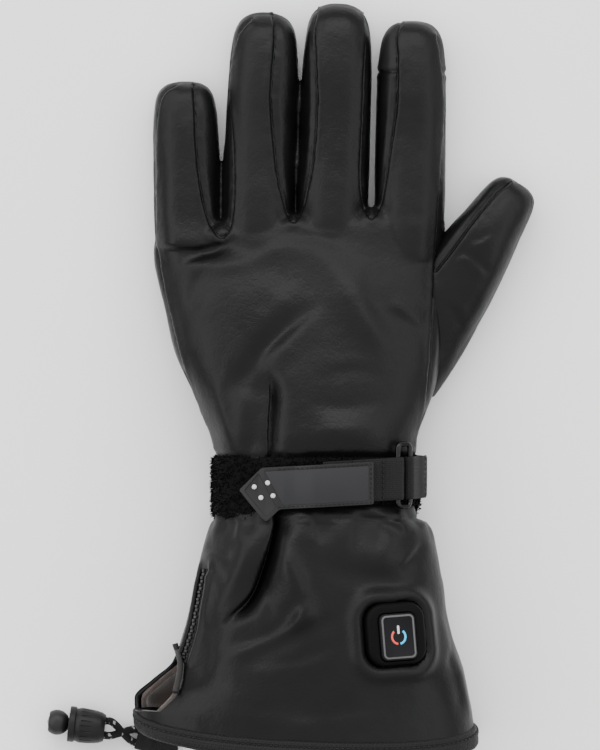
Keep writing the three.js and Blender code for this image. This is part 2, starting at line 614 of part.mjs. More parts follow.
const placed = (solid, frame) => solid.transform(frame.elements);
const POD_X = 34.5;
const POD_Y = 58.5;
const podFrame = surfaceFrame(POD_X, POD_Y, 12);
const POD_SUNK = 2.6;
const WELL_DEPTH = 3.2;
const WELL_GAP = 0.35;
const podBody = block(POD_WIDTH, POD_LENGTH, 7, -POD_SUNK, POD_HEIGHT - POD_SUNK, 1.4);
const well = block(KEY_WIDTH + 2 * WELL_GAP, KEY_LENGTH + 2 * WELL_GAP, 3, POD_HEIGHT - POD_SUNK - WELL_DEPTH, 20);
const pod = placed(podBody.subtract(well), podFrame);
const keyLow = POD_HEIGHT - POD_SUNK - WELL_DEPTH + KEY_TRAVEL + 0.3;
const key = placed(block(KEY_WIDTH, KEY_LENGTH, 2.8, keyLow, POD_HEIGHT - POD_SUNK + 1.4, 0.5), podFrame);
const podCutter = block(POD_WIDTH + 2 * SEAM_GAP, POD_LENGTH + 2 * SEAM_GAP, 7, -POD_SUNK - SEAM_GAP, 30);
const podHole = placed(podCutter, podFrame);

const cuff = largest(cuffShell.subtract(gussetCut(0)).subtract(zipSlot).subtract(podHole))[0];
const lining = largest(liningShell.subtract(gussetCut(-2)).subtract(podHole))[0];

// The wrist band, the strap and its tab.
const bandHalf = BAND_WIDTH / 2;
const handBandEnd = WRIST_Y + HAND_SECTIONS[1].along * PALM_LENGTH;
const bandStart = CUFF_STATIONS.find((y) => y > WRIST_Y - bandHalf - 1);
const bandLines = [bandStart, ...CUFF_STATIONS.filter((y) => y > bandStart && y < WRIST_Y), WRIST_Y, handBandEnd];
const band = sleeve(bandLines, -SEAM_GAP - BAND_THICKNESS, -SEAM_GAP);
const bandTop = SEAM_GAP + BAND_THICKNESS;

// Path over the wrist at one height above the leather, from the turn of one x to that of another.
function wristPath(fromX, toX, height, count) {
  return Array.from({ length: count + 1 }, (_, i) => {
    const p = topPoint(fromX + ((toX - fromX) * i) / count, WRIST_Y, -height);
    return new THREE.Vector2(p.x, p.z);
  });
}

// A strap of even thickness along a path in the section's plane, width along y.
function strapSolid(path, thickness, width, middle) {
  const left = [];
  const right = [];
  path.forEach((p, i) => {
    const a = path[Math.max(i - 1, 0)];
    const b = path[Math.min(i + 1, path.length - 1)];
    const d = new THREE.Vector2().subVectors(b, a).normalize();
    const n = new THREE.Vector2(-d.y, d.x).multiplyScalar(thickness / 2);
    left.push(new THREE.Vector2().addVectors(p, n));
    right.push(new THREE.Vector2().subVectors(p, n));
  });
  const shape = new THREE.Shape([...left, ...right.reverse()]);
  const geometry = new THREE.ExtrudeGeometry(shape, { depth: width, bevelEnabled: false });
  const basis = new THREE.Matrix4().makeBasis(
    new THREE.Vector3(1, STRAP_SLOPE, 0),
    new THREE.Vector3(0, 0, 1),
    new THREE.Vector3(0, -1, 0),
  );
  basis.setPosition(0, middle + width / 2, 0);
  geometry.applyMatrix4(basis);
  return solidOf(geometry);
}

// The ring: two long bars across the strap, its short bars bridging them.
const RING_X = 38.5;
const STRAP_Y = WRIST_Y + 0.7;
const ringLift = bandTop + 0.75 + RING_WIRE / 2 + STRAP_THICKNESS;
const ringAt = topPoint(RING_X, WRIST_Y, -ringLift);
const ringAlong = new THREE.Vector3()
  .subVectors(topPoint(RING_X + 2.5, WRIST_Y, -ringLift), topPoint(RING_X - 3, WRIST_Y, -ringLift))
  .setY(0)
  .normalize();
const barSpan = (RING_GAP + RING_WIRE) / 2;
const leftBar = ringAt.clone().addScaledVector(ringAlong, -barSpan);
const rightBar = ringAt.clone().addScaledVector(ringAlong, barSpan);
const ringY = STRAP_Y + STRAP_SLOPE * RING_X + 2.6;

function ringSolid() {
  const corners = [];
  const half = (RING_LENGTH + RING_WIRE) / 2;
  const corner = 2;
  const steps = 3;
  const spots = [[barSpan, half], [-barSpan, half], [-barSpan, -half], [barSpan, -half]];
  spots.forEach(([u, v], i) => {
    const cu = u - Math.sign(u) * corner;
    const cv = v - Math.sign(v) * corner;
    for (let k = 0; k <= steps; k++) {
      const turn = (i + k / steps) * (Math.PI / 2);
      corners.push([cu + corner * Math.cos(turn), cv + corner * Math.sin(turn)]);
    }
  });
  const out = new THREE.Vector3(-ringAlong.z, 0, ringAlong.x);
  const points = corners.map(([u, v]) => ringAt.clone().addScaledVector(ringAlong, u).setY(ringY + v));
  const rings = points.map((p, i) => {
    const before = points[(i + points.length - 1) % points.length];
    const after = points[(i + 1) % points.length];
    const way = new THREE.Vector3().subVectors(after, before).normalize();
    const flat = new THREE.Vector3().crossVectors(way, out).normalize();
    return Array.from({ length: 8 }, (_, k) => {
      const turn = (2 * Math.PI * k) / 8;
      return p
        .clone()
        .addScaledVector(flat, (Math.cos(turn) * RING_WIRE) / 2)
        .addScaledVector(out, (Math.sin(turn) * RING_WIRE) / 2);
    });
  });
  return loft(rings, true);
}

const flatOf = (v) => new THREE.Vector2(v.x, v.z);
const wrapRadius = RING_WIRE / 2 + 0.4 + STRAP_THICKNESS / 2;
function arc(centre, from, to, count) {
  return Array.from({ length: count + 1 }, (_, i) => {
    const turn = from + ((to - from) * i) / count;
    return new THREE.Vector2(centre.x + wrapRadius * Math.cos(turn), centre.y + wrapRadius * Math.sin(turn));
  });
}
const lean = Math.atan2(ringAlong.z, ringAlong.x);
const strapLow = wristPath(3, leftBar.x - 4, bandTop + 0.4 + STRAP_THICKNESS / 2, 7);
const strapHigh = wristPath(leftBar.x - 5, 16, bandTop + 0.8 + 1.5 * STRAP_THICKNESS, 5);
const strapTurn = arc(flatOf(leftBar), lean - Math.PI / 2, lean + Math.PI / 2, 6);
const strapPath = [...strapLow, ...strapTurn, ...strapHigh];

const turnAt = (x, height) => {
  const section = bodySection(WRIST_Y);
  return Math.acos(Math.min(1, (x - section.centre) / (section.half + height)) ** (CROWN / 2));
};
const sidePath = (from, to, height, count) =>
  Array.from({ length: count + 1 }, (_, i) => {
    const p = sectionPoint(bodySection(WRIST_Y), from + ((to - from) * i) / count, -height);
    return new THREE.Vector2(p.x, p.z);
  });
const lowHeight = bandTop + 0.4 + STRAP_THICKNESS / 2;
const highHeight = bandTop + 0.9 + 1.5 * STRAP_THICKNESS;
const keeperLow = sidePath(-0.5, turnAt(rightBar.x + 1.6, lowHeight), lowHeight, 5);
const keeperHigh = sidePath(turnAt(rightBar.x + 3.4, highHeight), -0.1, highHeight, 4);
const keeperTurn = arc(flatOf(rightBar), lean - Math.PI / 2, lean - 1.5 * Math.PI, 6);
const keeperPath = [...keeperLow, ...keeperTurn, ...keeperHigh];

// The tab's outline from its tip: along is a share of TAB_LENGTH, upper and lower of TAB_WIDTH.
const TAB_SECTIONS = [
  { along: 0.0, upper: 0.04, lower: -0.04, recess: 0 },
  { along: 0.08, upper: 0.25, lower: -0.3, recess: 0 },
  { along: 0.18, upper: 0.51, lower: -0.69, recess: 0 },
  { along: 0.203, upper: 0.51, lower: -0.775, recess: 0 },
  { along: 0.308, upper: 0.5, lower: -0.5, recess: 0 },
  { along: 0.345, upper: 0.5, lower: -0.5, recess: 0 },
  { along: 0.347, upper: 0.5, lower: -0.5, recess: 1 },
  { along: 0.45, upper: 0.5, lower: -0.5, recess: 1 },
  { along: 0.55, upper: 0.5, lower: -0.5, recess: 1 },
  { along: 0.65, upper: 0.5, lower: -0.5, recess: 1 },
  { along: 0.75, upper: 0.5, lower: -0.5, recess: 1 },
  { along: 0.85, upper: 0.5, lower: -0.5, recess: 1 },
  { along: 0.958, upper: 0.5, lower: -0.5, recess: 1 },
  { along: 0.96, upper: 0.5, lower: -0.5, recess: 0 },
  { along: 1.0, upper: 0.5, lower: -0.5, recess: 0 },
];
const TAB_TIP_X = -33.3;
const STACK = 2 * (STRAP_THICKNESS + 0.4);
function tabPoint(x, across, height) {
  const rise = STACK * THREE.MathUtils.smoothstep(x, -11, 1);
  const base = topPoint(x, WRIST_Y, -(bandTop + 0.4 + rise + height));
  return base.setY(STRAP_Y + STRAP_SLOPE * x + across);
}
const tabX = (row) => TAB_TIP_X + row.along * TAB_LENGTH;
const tabRings = TAB_SECTIONS.map((row) => {
  const [up, low] = [row.upper * TAB_WIDTH, row.lower * TAB_WIDTH];
  const rim = Math.min(TAB_RIM, (up - low) / 3);
  const floor = TAB_THICKNESS - row.recess * TAB_RECESS;
  const outline = [[low, 0], [up, 0], [up, TAB_THICKNESS], [up - rim, TAB_THICKNESS], [up - rim, floor]];
  outline.push([low + rim, floor], [low + rim, TAB_THICKNESS], [low, TAB_THICKNESS]);
  return outline.map(([v, h]) => tabPoint(tabX(row), v, h));
});
// Where the recess is nil the doubled points stay a hair apart, which keeps the skin closed.
tabRings.forEach((ring) => {
  if (ring[3].distanceTo(ring[4]) > 0.01) return;
  ring[4].z -= 0.012;
  ring[5].z -= 0.012;
});
const tab = loft(tabRings);
const insertRows = TAB_SECTIONS.filter((row) => row.recess === 1);
const insertRings = insertRows.map((row, i) => {
  const inwards = i === 0 ? SEAM_GAP + 0.12 : i === insertRows.length - 1 ? -SEAM_GAP - 0.12 : 0;
  const half = TAB_WIDTH / 2 - TAB_RIM - SEAM_GAP;
  const floor = TAB_THICKNESS - TAB_RECESS + SEAM_GAP;
  const outline = [[-half, floor], [half, floor], [half, TAB_THICKNESS + 0.25], [-half, TAB_THICKNESS + 0.25]];
  return outline.map(([v, h]) => tabPoint(tabX(row) + inwards, v, h));
});
const insert = loft(insertRings);

const NUBS = [
  { along: 0.11, across: 0.06 },
  { along: 0.16, across: -0.2 },
  { along: 0.21, across: 0.14 },
  { along: 0.25, across: -0.17 },
];
function nub(row) {
  const x = TAB_TIP_X + row.along * TAB_LENGTH;
  const at = tabPoint(x, row.across * TAB_WIDTH, TAB_THICKNESS + SEAM_GAP);
  const slope = new THREE.Vector3().subVectors(tabPoint(x + 1, 0, 0), tabPoint(x - 1, 0, 0)).setY(0).normalize();
  const out = new THREE.Vector3(-slope.z, 0, slope.x);
  const dome = new THREE.SphereGeometry(NUB_DIAMETER / 2, 8, 3, 0, 2 * Math.PI, 0, Math.PI / 2);
  const rim = new THREE.CylinderGeometry(NUB_DIAMETER / 2, NUB_DIAMETER / 2, 0.3, 8);
  dome.scale(1, 0.7, 1).translate(0, 0.28, 0);
  rim.translate(0, 0.15, 0);
  const both = solidOf(rim).add(closedDome(dome));
  const frame = new THREE.Matrix4().makeBasis(slope, out, new THREE.Vector3(0, -1, 0)).setPosition(at);
  return both.transform(frame.elements);
}

// A half sphere is closed by a fan over its rim.
function closedDome(geometry) {
  const bare = new THREE.BufferGeometry().setAttribute("position", geometry.getAttribute("position"));
  const merged = mergeVertices(bare.setIndex(geometry.index), 1e-4);
  const at = merged.getAttribute("position");
  const points = Array.from({ length: at.count }, (_, i) => new THREE.Vector3().fromBufferAttribute(at, i));
  const faces = Array.from(merged.index.array);
  const low = Math.min(...points.map((p) => p.y));
  const edges = new Map();
  for (let i = 0; i < faces.length; i += 3) {
    for (let k = 0; k < 3; k++) edges.set(faces[i + k] + "," + faces[i + ((k + 1) % 3)], true);
  }
  points.push(new THREE.Vector3(0, low, 0));
  for (const key of edges.keys()) {
    const [a, b] = key.split(",").map(Number);
    if (a !== b && !edges.has(b + "," + a)) faces.push(b, a, points.length - 1);
  }
  return solidFrom(points, faces);
}

// The cord lock lies on the ground beside the hem, its axis pointing away from the cuff.
const LOCK_AT = new THREE.Vector3(-100.6, 12.8, LOCK_DIAMETER / 2);
const LOCK_TILT = THREE.MathUtils.degToRad(7);
const lockFrame = new THREE.Matrix4()
  .makeBasis(
    new THREE.Vector3(0, 0, 1),
    new THREE.Vector3(-Math.cos(LOCK_TILT), Math.sin(LOCK_TILT), 0),
    new THREE.Vector3(-Math.sin(LOCK_TILT), -Math.cos(LOCK_TILT), 0),
  )
  .setPosition(LOCK_AT);
const LOCK_PROFILE = [
  { radius: 0.0, along: -0.12 },
  { radius: 0.2, along: -0.12 },
  { radius: 0.36, along: -0.12 },
  { radius: 0.36, along: 0.3 },
  { radius: 0.78, along: 0.3 },
  { radius: 0.78, along: 0.54 },
  { radius: 1.0, along: 0.54 },
  { radius: 1.0, along: 0.37 },
  { radius: 0.9, along: 0.35 },
  { radius: 0.93, along: 0.31 },
  { radius: 0.98, along: 0.24 },
  { radius: 0.92, along: -0.2 },
  { radius: 0.74, along: -0.46 },
  { radius: 0.0, along: -0.46 },
];
const lathe = (rows, radius, length, sides) =>
  solidOf(new THREE.LatheGeometry(rows.map((p) => new THREE.Vector2(p.radius * radius, p.along * length)), sides));
const lockBody = lathe(LOCK_PROFILE, LOCK_DIAMETER / 2, LOCK_LENGTH, 20);

const KNOB_CENTRE = 13.9;
const PLUNGER_PROFILE = [];
const stemEnd = -0.12 * LOCK_LENGTH + LOCK_TRAVEL + 0.5;
PLUNGER_PROFILE.push({ radius: 0, along: stemEnd }, { radius: STEM_DIAMETER / 2, along: stemEnd });
const neck = Math.asin(STEM_DIAMETER / KNOB_DIAMETER);
for (let i = 0; i <= 8; i++) {
  const turn = neck + ((Math.PI - neck) * i) / 8;
  PLUNGER_PROFILE.push({
    radius: i === 8 ? 0 : (KNOB_DIAMETER / 2) * Math.sin(turn),
    along: KNOB_CENTRE - (KNOB_DIAMETER / 2) * Math.cos(turn),
  });
}
const plunger = lathe(PLUNGER_PROFILE, 1, 1, 16).transform(lockFrame.elements);

// Cords: round tubes from inside the lock's mouth to inside the channel's.
function circle(sides, width, height) {
  return Array.from({ length: sides }, (_, i) => {
    const turn = (2 * Math.PI * i) / sides;
    return new THREE.Vector2((width / 2) * Math.cos(turn), (height / 2) * Math.sin(turn));
  });
}

const lockPoint = (across, along) => new THREE.Vector3(0, along, across).applyMatrix4(lockFrame);
const CHANNEL_WIDTH = 11;
const CHANNEL_HEIGHT = 5.6;
const CHANNEL_POINTS = [
  { x: -79, y: 8 },
  { x: -73, y: 6.4 },
  { x: -67, y: 5.7 },
  { x: -61.5, y: 6.2 },
];

const channelPath = CHANNEL_POINTS.map((p) => new THREE.Vector3(p.x, p.y, CHANNEL_HEIGHT / 2));
function stripAlong(points, width, height, steps) {
  const curve = new THREE.CatmullRomCurve3(points);
  const rings = Array.from({ length: steps + 1 }, (_, i) => {
    const at = curve.getPoint(i / steps);
    const way = curve.getTangent(i / steps);
    const side = new THREE.Vector3(way.y, -way.x, 0).normalize();
    const up = new THREE.Vector3().crossVectors(side, way).normalize();
    return circle(10, width, height).map((p) => at.clone().addScaledVector(side, p.x).addScaledVector(up, p.y));
  });
  return loft(rings);
}
const channelSolid = stripAlong(channelPath, CHANNEL_WIDTH, CHANNEL_HEIGHT, 5);
const mouthWay = new THREE.Vector3().subVectors(channelPath[1], channelPath[0]).normalize();
const mouthSide = new THREE.Vector3(-mouthWay.y, mouthWay.x, 0);
function cordPoints(side) {
  const inLock = lockPoint(-side * CORD_SPACING / 2, -0.2 * LOCK_LENGTH);
  const atMouth = lockPoint(-side * CORD_SPACING / 2, -0.66 * LOCK_LENGTH);
  const atChannel = channelPath[0].clone().addScaledVector(mouthSide, (side * CORD_SPACING) / 2 * 0.85);
  const before = atChannel.clone().addScaledVector(mouthWay, -2.5);
  const inChannel = atChannel.clone().addScaledVector(mouthWay, 3.5);
  return [inLock, atMouth, before, inChannel];
}
const cordTube = (side, diameter) => stripAlong(cordPoints(side), diameter, diameter, 9);
const cords = [1, -1].map((side) => cordTube(side, CORD_DIAMETER));
const cordBores = [1, -1].map((side) => {
  const [a, b, c, d] = cordPoints(side);
  const ends = (p, q, more) => p.clone().addScaledVector(new THREE.Vector3().subVectors(p, q).normalize(), more);
  const wide = CORD_DIAMETER + 2 * SEAM_GAP;
  return stripAlong([ends(a, b, SEAM_GAP), a, b, c, d, ends(d, c, SEAM_GAP)], wide, wide, 12);
});
const lock = cordBores.reduce((solid, bore) => solid.subtract(bore), lockBody.transform(lockFrame.elements));
const channel = largest(cordBores.reduce((solid, bore) => solid.subtract(bore), channelSolid))[0];

// A fabric loop stands out of the hem at the index side.
const loopRings = Array.from({ length: 12 }, (_, i) => {
  const turn = (2 * Math.PI * i) / 12;
  const at = new THREE.Vector3(68, 10.2, 3.4);
  const out = new THREE.Vector3(Math.cos(turn), Math.sin(turn), 0);
  return circle(8, 2.2, 4.6).map((p) =>
    at.clone().addScaledVector(out, 3.4 + p.x).add(new THREE.Vector3(0, 0, p.y)),
  );
});
const hemLoop = loft(loopRings, true);

// Piping down the upper leather's edge beside the slit, on the leather's own skin.
const edgeAt = (rows, shift) => rows.map((row) => [row.across * PALM_WIDTH + shift, row.along * CUFF_LENGTH + 9]);
const pipingEdge = edgeAt(GUSSET_EDGE.slice(1), -SEAM_GAP);
const pipingOutline = [...pipingEdge, ...edgeAt(GUSSET_EDGE.slice(1), -2.2).reverse()];
const pipingPrism = new THREE.ExtrudeGeometry(
  new THREE.Shape(pipingOutline.map(([x, y]) => new THREE.Vector2(x, y))),
  { depth: 2 * HEM_DEPTH, bevelEnabled: false },
);
pipingPrism.translate(0, 0, WAIST * HEM_DEPTH);
const piping = largest(cuffShell.intersect(solidOf(pipingPrism)))[0];

const LEATHER_LOOK = { color: 0x1b1b1c, roughness: 0.42, metalness: 0 };
const PLASTIC_LOOK = { color: 0x222425, roughness: 0.4, metalness: 0 };
const NUB_LOOK = { color: 0xb9babb, roughness: 0.5, metalness: 0 };
const WEBBING_LOOK = { color: 0x282829, roughness: 0.9, metalness: 0 };
const webbingThrough = (path) => strapSolid(path, STRAP_THICKNESS, STRAP_WIDTH, STRAP_Y + 1.2);
const pieces = [
  ["back_panel", backPanel, LEATHER_LOOK],
  ["palm_panel", palmPanel, LEATHER_LOOK],
  ["side_strip_little", sideWalls[0], LEATHER_LOOK],
  ["fourchette_little_ring", sideWalls[1], LEATHER_LOOK],
  ["fourchette_ring_middle", sideWalls[2], LEATHER_LOOK],
  ["fourchette_middle_index", sideWalls[3], LEATHER_LOOK],
  ["side_strip_index", sideWalls[4], LEATHER_LOOK],
  ["index_touch_tip", touchTip, { color: 0x202021, roughness: 0.5, metalness: 0 }],
  ["thumb_back", thumbBack, LEATHER_LOOK],
  ["thumb_palm", thumbPalm, LEATHER_LOOK],
  ["cuff", cuff, LEATHER_LOOK],
  ["cuff_lining", lining, { color: 0x2a1d17, roughness: 0.9, metalness: 0 }],
  ["hem_binding", binding, { color: 0x262628, roughness: 0.55, metalness: 0 }],
  ["edge_piping", piping, { color: 0x3a3a3c, roughness: 0.5, metalness: 0 }],
  ["hem_loop", hemLoop, { color: 0x151516, roughness: 0.8, metalness: 0 }],
  ["zip_tape", zipTape, { color: 0x17171a, roughness: 0.9, metalness: 0 }],
  ["zip_teeth", zipTeeth, { color: 0x8f9094, roughness: 0.3, metalness: 0.9 }],
  ["control_housing", pod, PLASTIC_LOOK],
  ["control_key", key, { color: 0x303335, roughness: 0.35, metalness: 0 }],
  ["wrist_band", band, { color: 0x0d0d0e, roughness: 1, metalness: 0 }],
  ["strap_webbing", webbingThrough(strapPath), WEBBING_LOOK],
  ["ring_keeper", webbingThrough(keeperPath), WEBBING_LOOK],
  ["strap_ring", ringSolid(), { color: 0x55565a, roughness: 0.3, metalness: 0.9 }],
  ["strap_tab", tab, { color: 0x1f1f21, roughness: 0.55, metalness: 0 }],
  ["tab_insert", insert, { color: 0x39393b, roughness: 0.35, metalness: 0 }],
  ...NUBS.map((row, i) => ["grip_nub_" + (i + 1), nub(row), NUB_LOOK]),
  ["cord_channel", channel, { color: 0x0e0e0f, roughness: 0.9, metalness: 0 }],
  ["drawcord_front", cords[1], { color: 0x141415, roughness: 0.8, metalness: 0 }],
  ["drawcord_back", cords[0], { color: 0x141415, roughness: 0.8, metalness: 0 }],
  ["cord_lock", lock, PLASTIC_LOOK],
  ["lock_plunger", plunger, { color: 0x303133, roughness: 0.4, metalness: 0 }],
];

// The origin is under the middle of the glove itself, its free cord and lock left out.
const CORD_PIECES = ["drawcord_front", "drawcord_back", "cord_lock", "lock_plunger"];
const bounds = new THREE.Box3();
for (const [name, solid] of pieces) {
  if (CORD_PIECES.includes(name)) continue;
  const { min, max } = solid.boundingBox();
  bounds.expandByPoint(new THREE.Vector3(...min)).expandByPoint(new THREE.Vector3(...max));
}
const centre = bounds.getCenter(new THREE.Vector3());

const part = new THREE.Group();
part.name = "heated_glove";
for (const [name, solid, look] of pieces) {
  const made = solid.simplify(SMOOTHING).translate([-centre.x, -centre.y, 0]).getMesh();
  const geometry = new THREE.BufferGeometry();
  geometry.setAttribute("position", new THREE.BufferAttribute(new Float32Array(made.vertProperties), 3));
  geometry.setIndex(new THREE.BufferAttribute(new Uint32Array(made.triVerts), 1));
  geometry.computeVertexNormals();
  const mesh = new THREE.Mesh(geometry, new THREE.MeshStandardMaterial(look));
  mesh.name = name;
  part.add(mesh);
}
export default part;
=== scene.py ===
"""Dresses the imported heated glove: leather with its folds and seams, cloth, fittings, drawcord and studio."""

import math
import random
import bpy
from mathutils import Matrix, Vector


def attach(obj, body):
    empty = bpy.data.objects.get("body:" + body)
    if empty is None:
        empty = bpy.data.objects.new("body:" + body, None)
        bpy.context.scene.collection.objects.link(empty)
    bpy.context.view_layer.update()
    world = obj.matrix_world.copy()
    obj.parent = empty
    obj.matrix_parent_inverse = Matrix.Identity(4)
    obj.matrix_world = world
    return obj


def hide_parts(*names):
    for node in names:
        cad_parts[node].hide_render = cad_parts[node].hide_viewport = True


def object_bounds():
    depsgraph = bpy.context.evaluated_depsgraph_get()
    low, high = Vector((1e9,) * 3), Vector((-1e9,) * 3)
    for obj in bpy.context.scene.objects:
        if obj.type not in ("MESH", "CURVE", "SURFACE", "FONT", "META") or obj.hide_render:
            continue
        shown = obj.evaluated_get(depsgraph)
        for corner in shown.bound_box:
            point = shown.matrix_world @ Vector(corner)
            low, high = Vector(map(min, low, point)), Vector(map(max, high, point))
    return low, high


bl_info = {
    "name": "Heated Glove",
    "version": (1, 0, 0),
    "blender": (4, 5, 0),
    "location": "View3D > Sidebar > Glove",
    "description": "Models a left-hand heated gauntlet glove around its packed frame",
    "category": "Add Mesh",
}

import bmesh
import bpy
import numpy as np
from mathutils import Matrix, Vector

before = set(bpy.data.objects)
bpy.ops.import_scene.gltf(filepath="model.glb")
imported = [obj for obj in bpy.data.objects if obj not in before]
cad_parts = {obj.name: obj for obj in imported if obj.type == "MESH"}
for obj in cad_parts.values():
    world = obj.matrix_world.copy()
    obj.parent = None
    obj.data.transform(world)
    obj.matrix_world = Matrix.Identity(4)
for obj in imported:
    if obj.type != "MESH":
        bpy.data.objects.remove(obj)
CAD_BOX = [[float(v) for v in corner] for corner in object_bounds()]

# Every shape below is worked out in millimetres on the glove's own lines:
# y runs from the hem, x from the wrist's middle.
MM = 0.001
ORIGIN = (7.1855, 165.7067)  # the frame's origin on those lines
VIEW_SCALE = 0.44  # millimetres for each unit of the plan drawing that places the creases
PLAN_ORIGIN = (315.6, 757.0)

CUFF_LENGTH = 119.0
PALM_LENGTH = 115.0
HEM_WIDTH = 149.4
HEM_DEPTH = 57.0
WRIST_WIDTH = 86.8
WRIST_DEPTH = 46.0
WRIST_LIFT = 2.8
PALM_WIDTH = 129.8
KNUCKLE_DEPTH = 32.5
FINGER_DEPTH = 29.0
LEATHER = 2.2
GAP = 0.3
LINING = 2.6
CROWN = 2.35
BELLY = 3.2
WAIST = 0.44
FLATTEN = 2.2
GROUND = 0.02  # the leather stays this far above the surface
WRIST_Y = CUFF_LENGTH
CROTCH_Y = CUFF_LENGTH + PALM_LENGTH
HEM_Y = 0.08 * CUFF_LENGTH

# along, flare, deep, lean, bow, slant
CUFF_SECTIONS = (
    (0.08, 1.0, 1.0, -0.03, 0.08, -0.05),
    (0.2, 0.985, 1.0, -0.042, 0.075, -0.04),
    (0.27, 0.83, 0.98, -0.019, 0.067, -0.03),
    (0.34, 0.66, 0.95, 0.006, 0.06, -0.02),
    (0.5, 0.46, 0.86, 0.007, 0.045, 0.0),
    (0.67, 0.34, 0.8, 0.011, 0.03, 0.0),
    (0.82, 0.215, 0.66, 0.015, 0.01, 0.0),
    (0.872, 0.11, 0.3, 0.008, 0.0, 0.0),
    (0.885, 0.0, 0.0, 0.0, 0.0, 0.0),
    (1.0, 0.0, 0.0, 0.0, 0.0, 0.0),
)
# along, flare, deep, lean, slant, end
HAND_SECTIONS = (
    (0.0, 0.0, 0.0, 0.0, 0.0, 0.0),
    (0.115, 0.0, 0.0, 0.0, 0.0, 0.0),
    (0.135, 0.04, -0.12, 0.0, 0.0, 0.0),
    (0.2, 0.1, -0.13, -0.004, 0.01, 0.0),
    (0.36, 0.44, 0.04, -0.004, 0.02, 0.0),
    (0.53, 0.715, 0.28, -0.025, 0.03, 0.0),
    (0.71, 0.84, 0.56, -0.039, 0.05, 0.0),
    (0.88, 0.95, 0.9, -0.053, 0.08, 0.0),
    (0.97, 0.98, 1.0, -0.056, 0.09, 0.02),
    (1.015, 0.98, 1.06, -0.056, 0.09, 0.14),
    (1.045, 0.97, 1.1, -0.056, 0.09, 0.42),
)
# along, width, top, bottom
FINGER_SECTIONS = (
    (-0.24, 0.84, 1.02, 0.06),
    (-0.04, 0.97, 1.07, 0.02),
    (0.16, 1.0, 1.02, 0.01),
    (0.45, 0.99, 0.93, 0.0),
    (0.7, 0.97, 0.88, 0.0),
    (0.86, 0.9, 0.8, 0.02),
    (0.94, 0.77, 0.71, 0.08),
    (0.985, 0.52, 0.57, 0.19),
    (1.0, 0.24, 0.45, 0.3),
)
THUMB_SECTIONS = (
    (-0.32, 0.78, 0.72, 0.08),
    (-0.18, 0.99, 0.8, 0.04),
    (0.05, 1.02, 0.86, 0.02),
    (0.22, 0.99, 0.9, 0.0),
    (0.42, 0.92, 0.95, 0.0),
    (0.6, 0.82, 0.97, 0.0),
    (0.76, 0.7, 0.9, 0.0),
    (0.88, 0.62, 0.8, 0.04),
    (0.95, 0.54, 0.7, 0.12),
    (0.985, 0.42, 0.58, 0.22),
    (1.0, 0.24, 0.47, 0.32),
)
# The main folds, as shares of the palm's width, the cuff's length and the hem's depth:
# across, up, heading, half, spread, rise
MAIN_FOLDS = (
    (-0.41, 1.885, 2, 0.15, 0.03, -0.055),
    (-0.41, 1.83, 2, 0.15, 0.035, 0.02),
    (-0.03, 1.93, -3, 0.13, 0.035, -0.03),
    (0.12, 1.7, -58, 0.2, 0.05, 0.03),
    (-0.17, 1.5, 52, 0.16, 0.035, -0.035),
    (-0.19, 1.27, 82, 0.15, 0.04, -0.075),
    (-0.33, 1.24, 100, 0.12, 0.05, 0.03),
    (0.13, 1.2, 0, 0.16, 0.05, 0.035),
    (-0.17, 0.73, 68, 0.2, 0.035, -0.085),
    (-0.29, 0.66, 62, 0.15, 0.04, 0.035),
    (-0.07, 0.62, 108, 0.16, 0.05, 0.045),
    (-0.1, 0.44, 24, 0.16, 0.035, -0.035),
    (0.16, 0.68, -20, 0.16, 0.05, -0.035),
)
# name, length, width, depth, across, up, splay, roll: roll turns the seams towards the palm side
FINGERS = (
    ("little", 69.5, 29.4, 0.93, 0.1225, -0.049, -1.5, 0.16),
    ("ring", 95.5, 31.6, 1.0, 0.356, -0.01, 2.4, 0.12),
    ("middle", 95.0, 31.2, 1.02, 0.612, 0.028, 1.9, 0.04),
    ("index", 87.0, 31.0, 1.0, 0.876, 0.031, 0.9, 0.0),
)
FINGER_LOWER_SEAM = ((-0.12, 0.2, 0.5, 0.84, 0.94, 1.0), (0.28, 0.27, 0.22, 0.22, 0.27, 0.35))
PALM_LOWER_SEAM = ((-0.05, 0.88, 0.97, 1.0, 1.13), (0.54, 0.26, 0.25, 0.25, 0.25))
TOUCH_TIP_SHARE = 0.74
HAND_GRAIN, THUMB_GRAIN = 1.0, 0.85  # how fine the skin's mesh is
BACK_SEAM = (1.15, 0.62)  # depth and width of a seam's groove
LOWER_SEAM = (0.55, 0.9)
THUMB_BACK_SEAM = (1.2, 0.7)
THUMB_SIDE_SEAM = (0.5, 0.6)
TIP_SEAM = (0.6, 0.8)
PUCKER_REACH = 3.2
UPPER_SIDE = 0.08  # least upward part of a normal on the glove's upper side
HAND_FOLD_LEAN, CUFF_FOLD_LEAN = 3.0, 4.0
NOT_A_SEAM = 1e3  # further than any seam

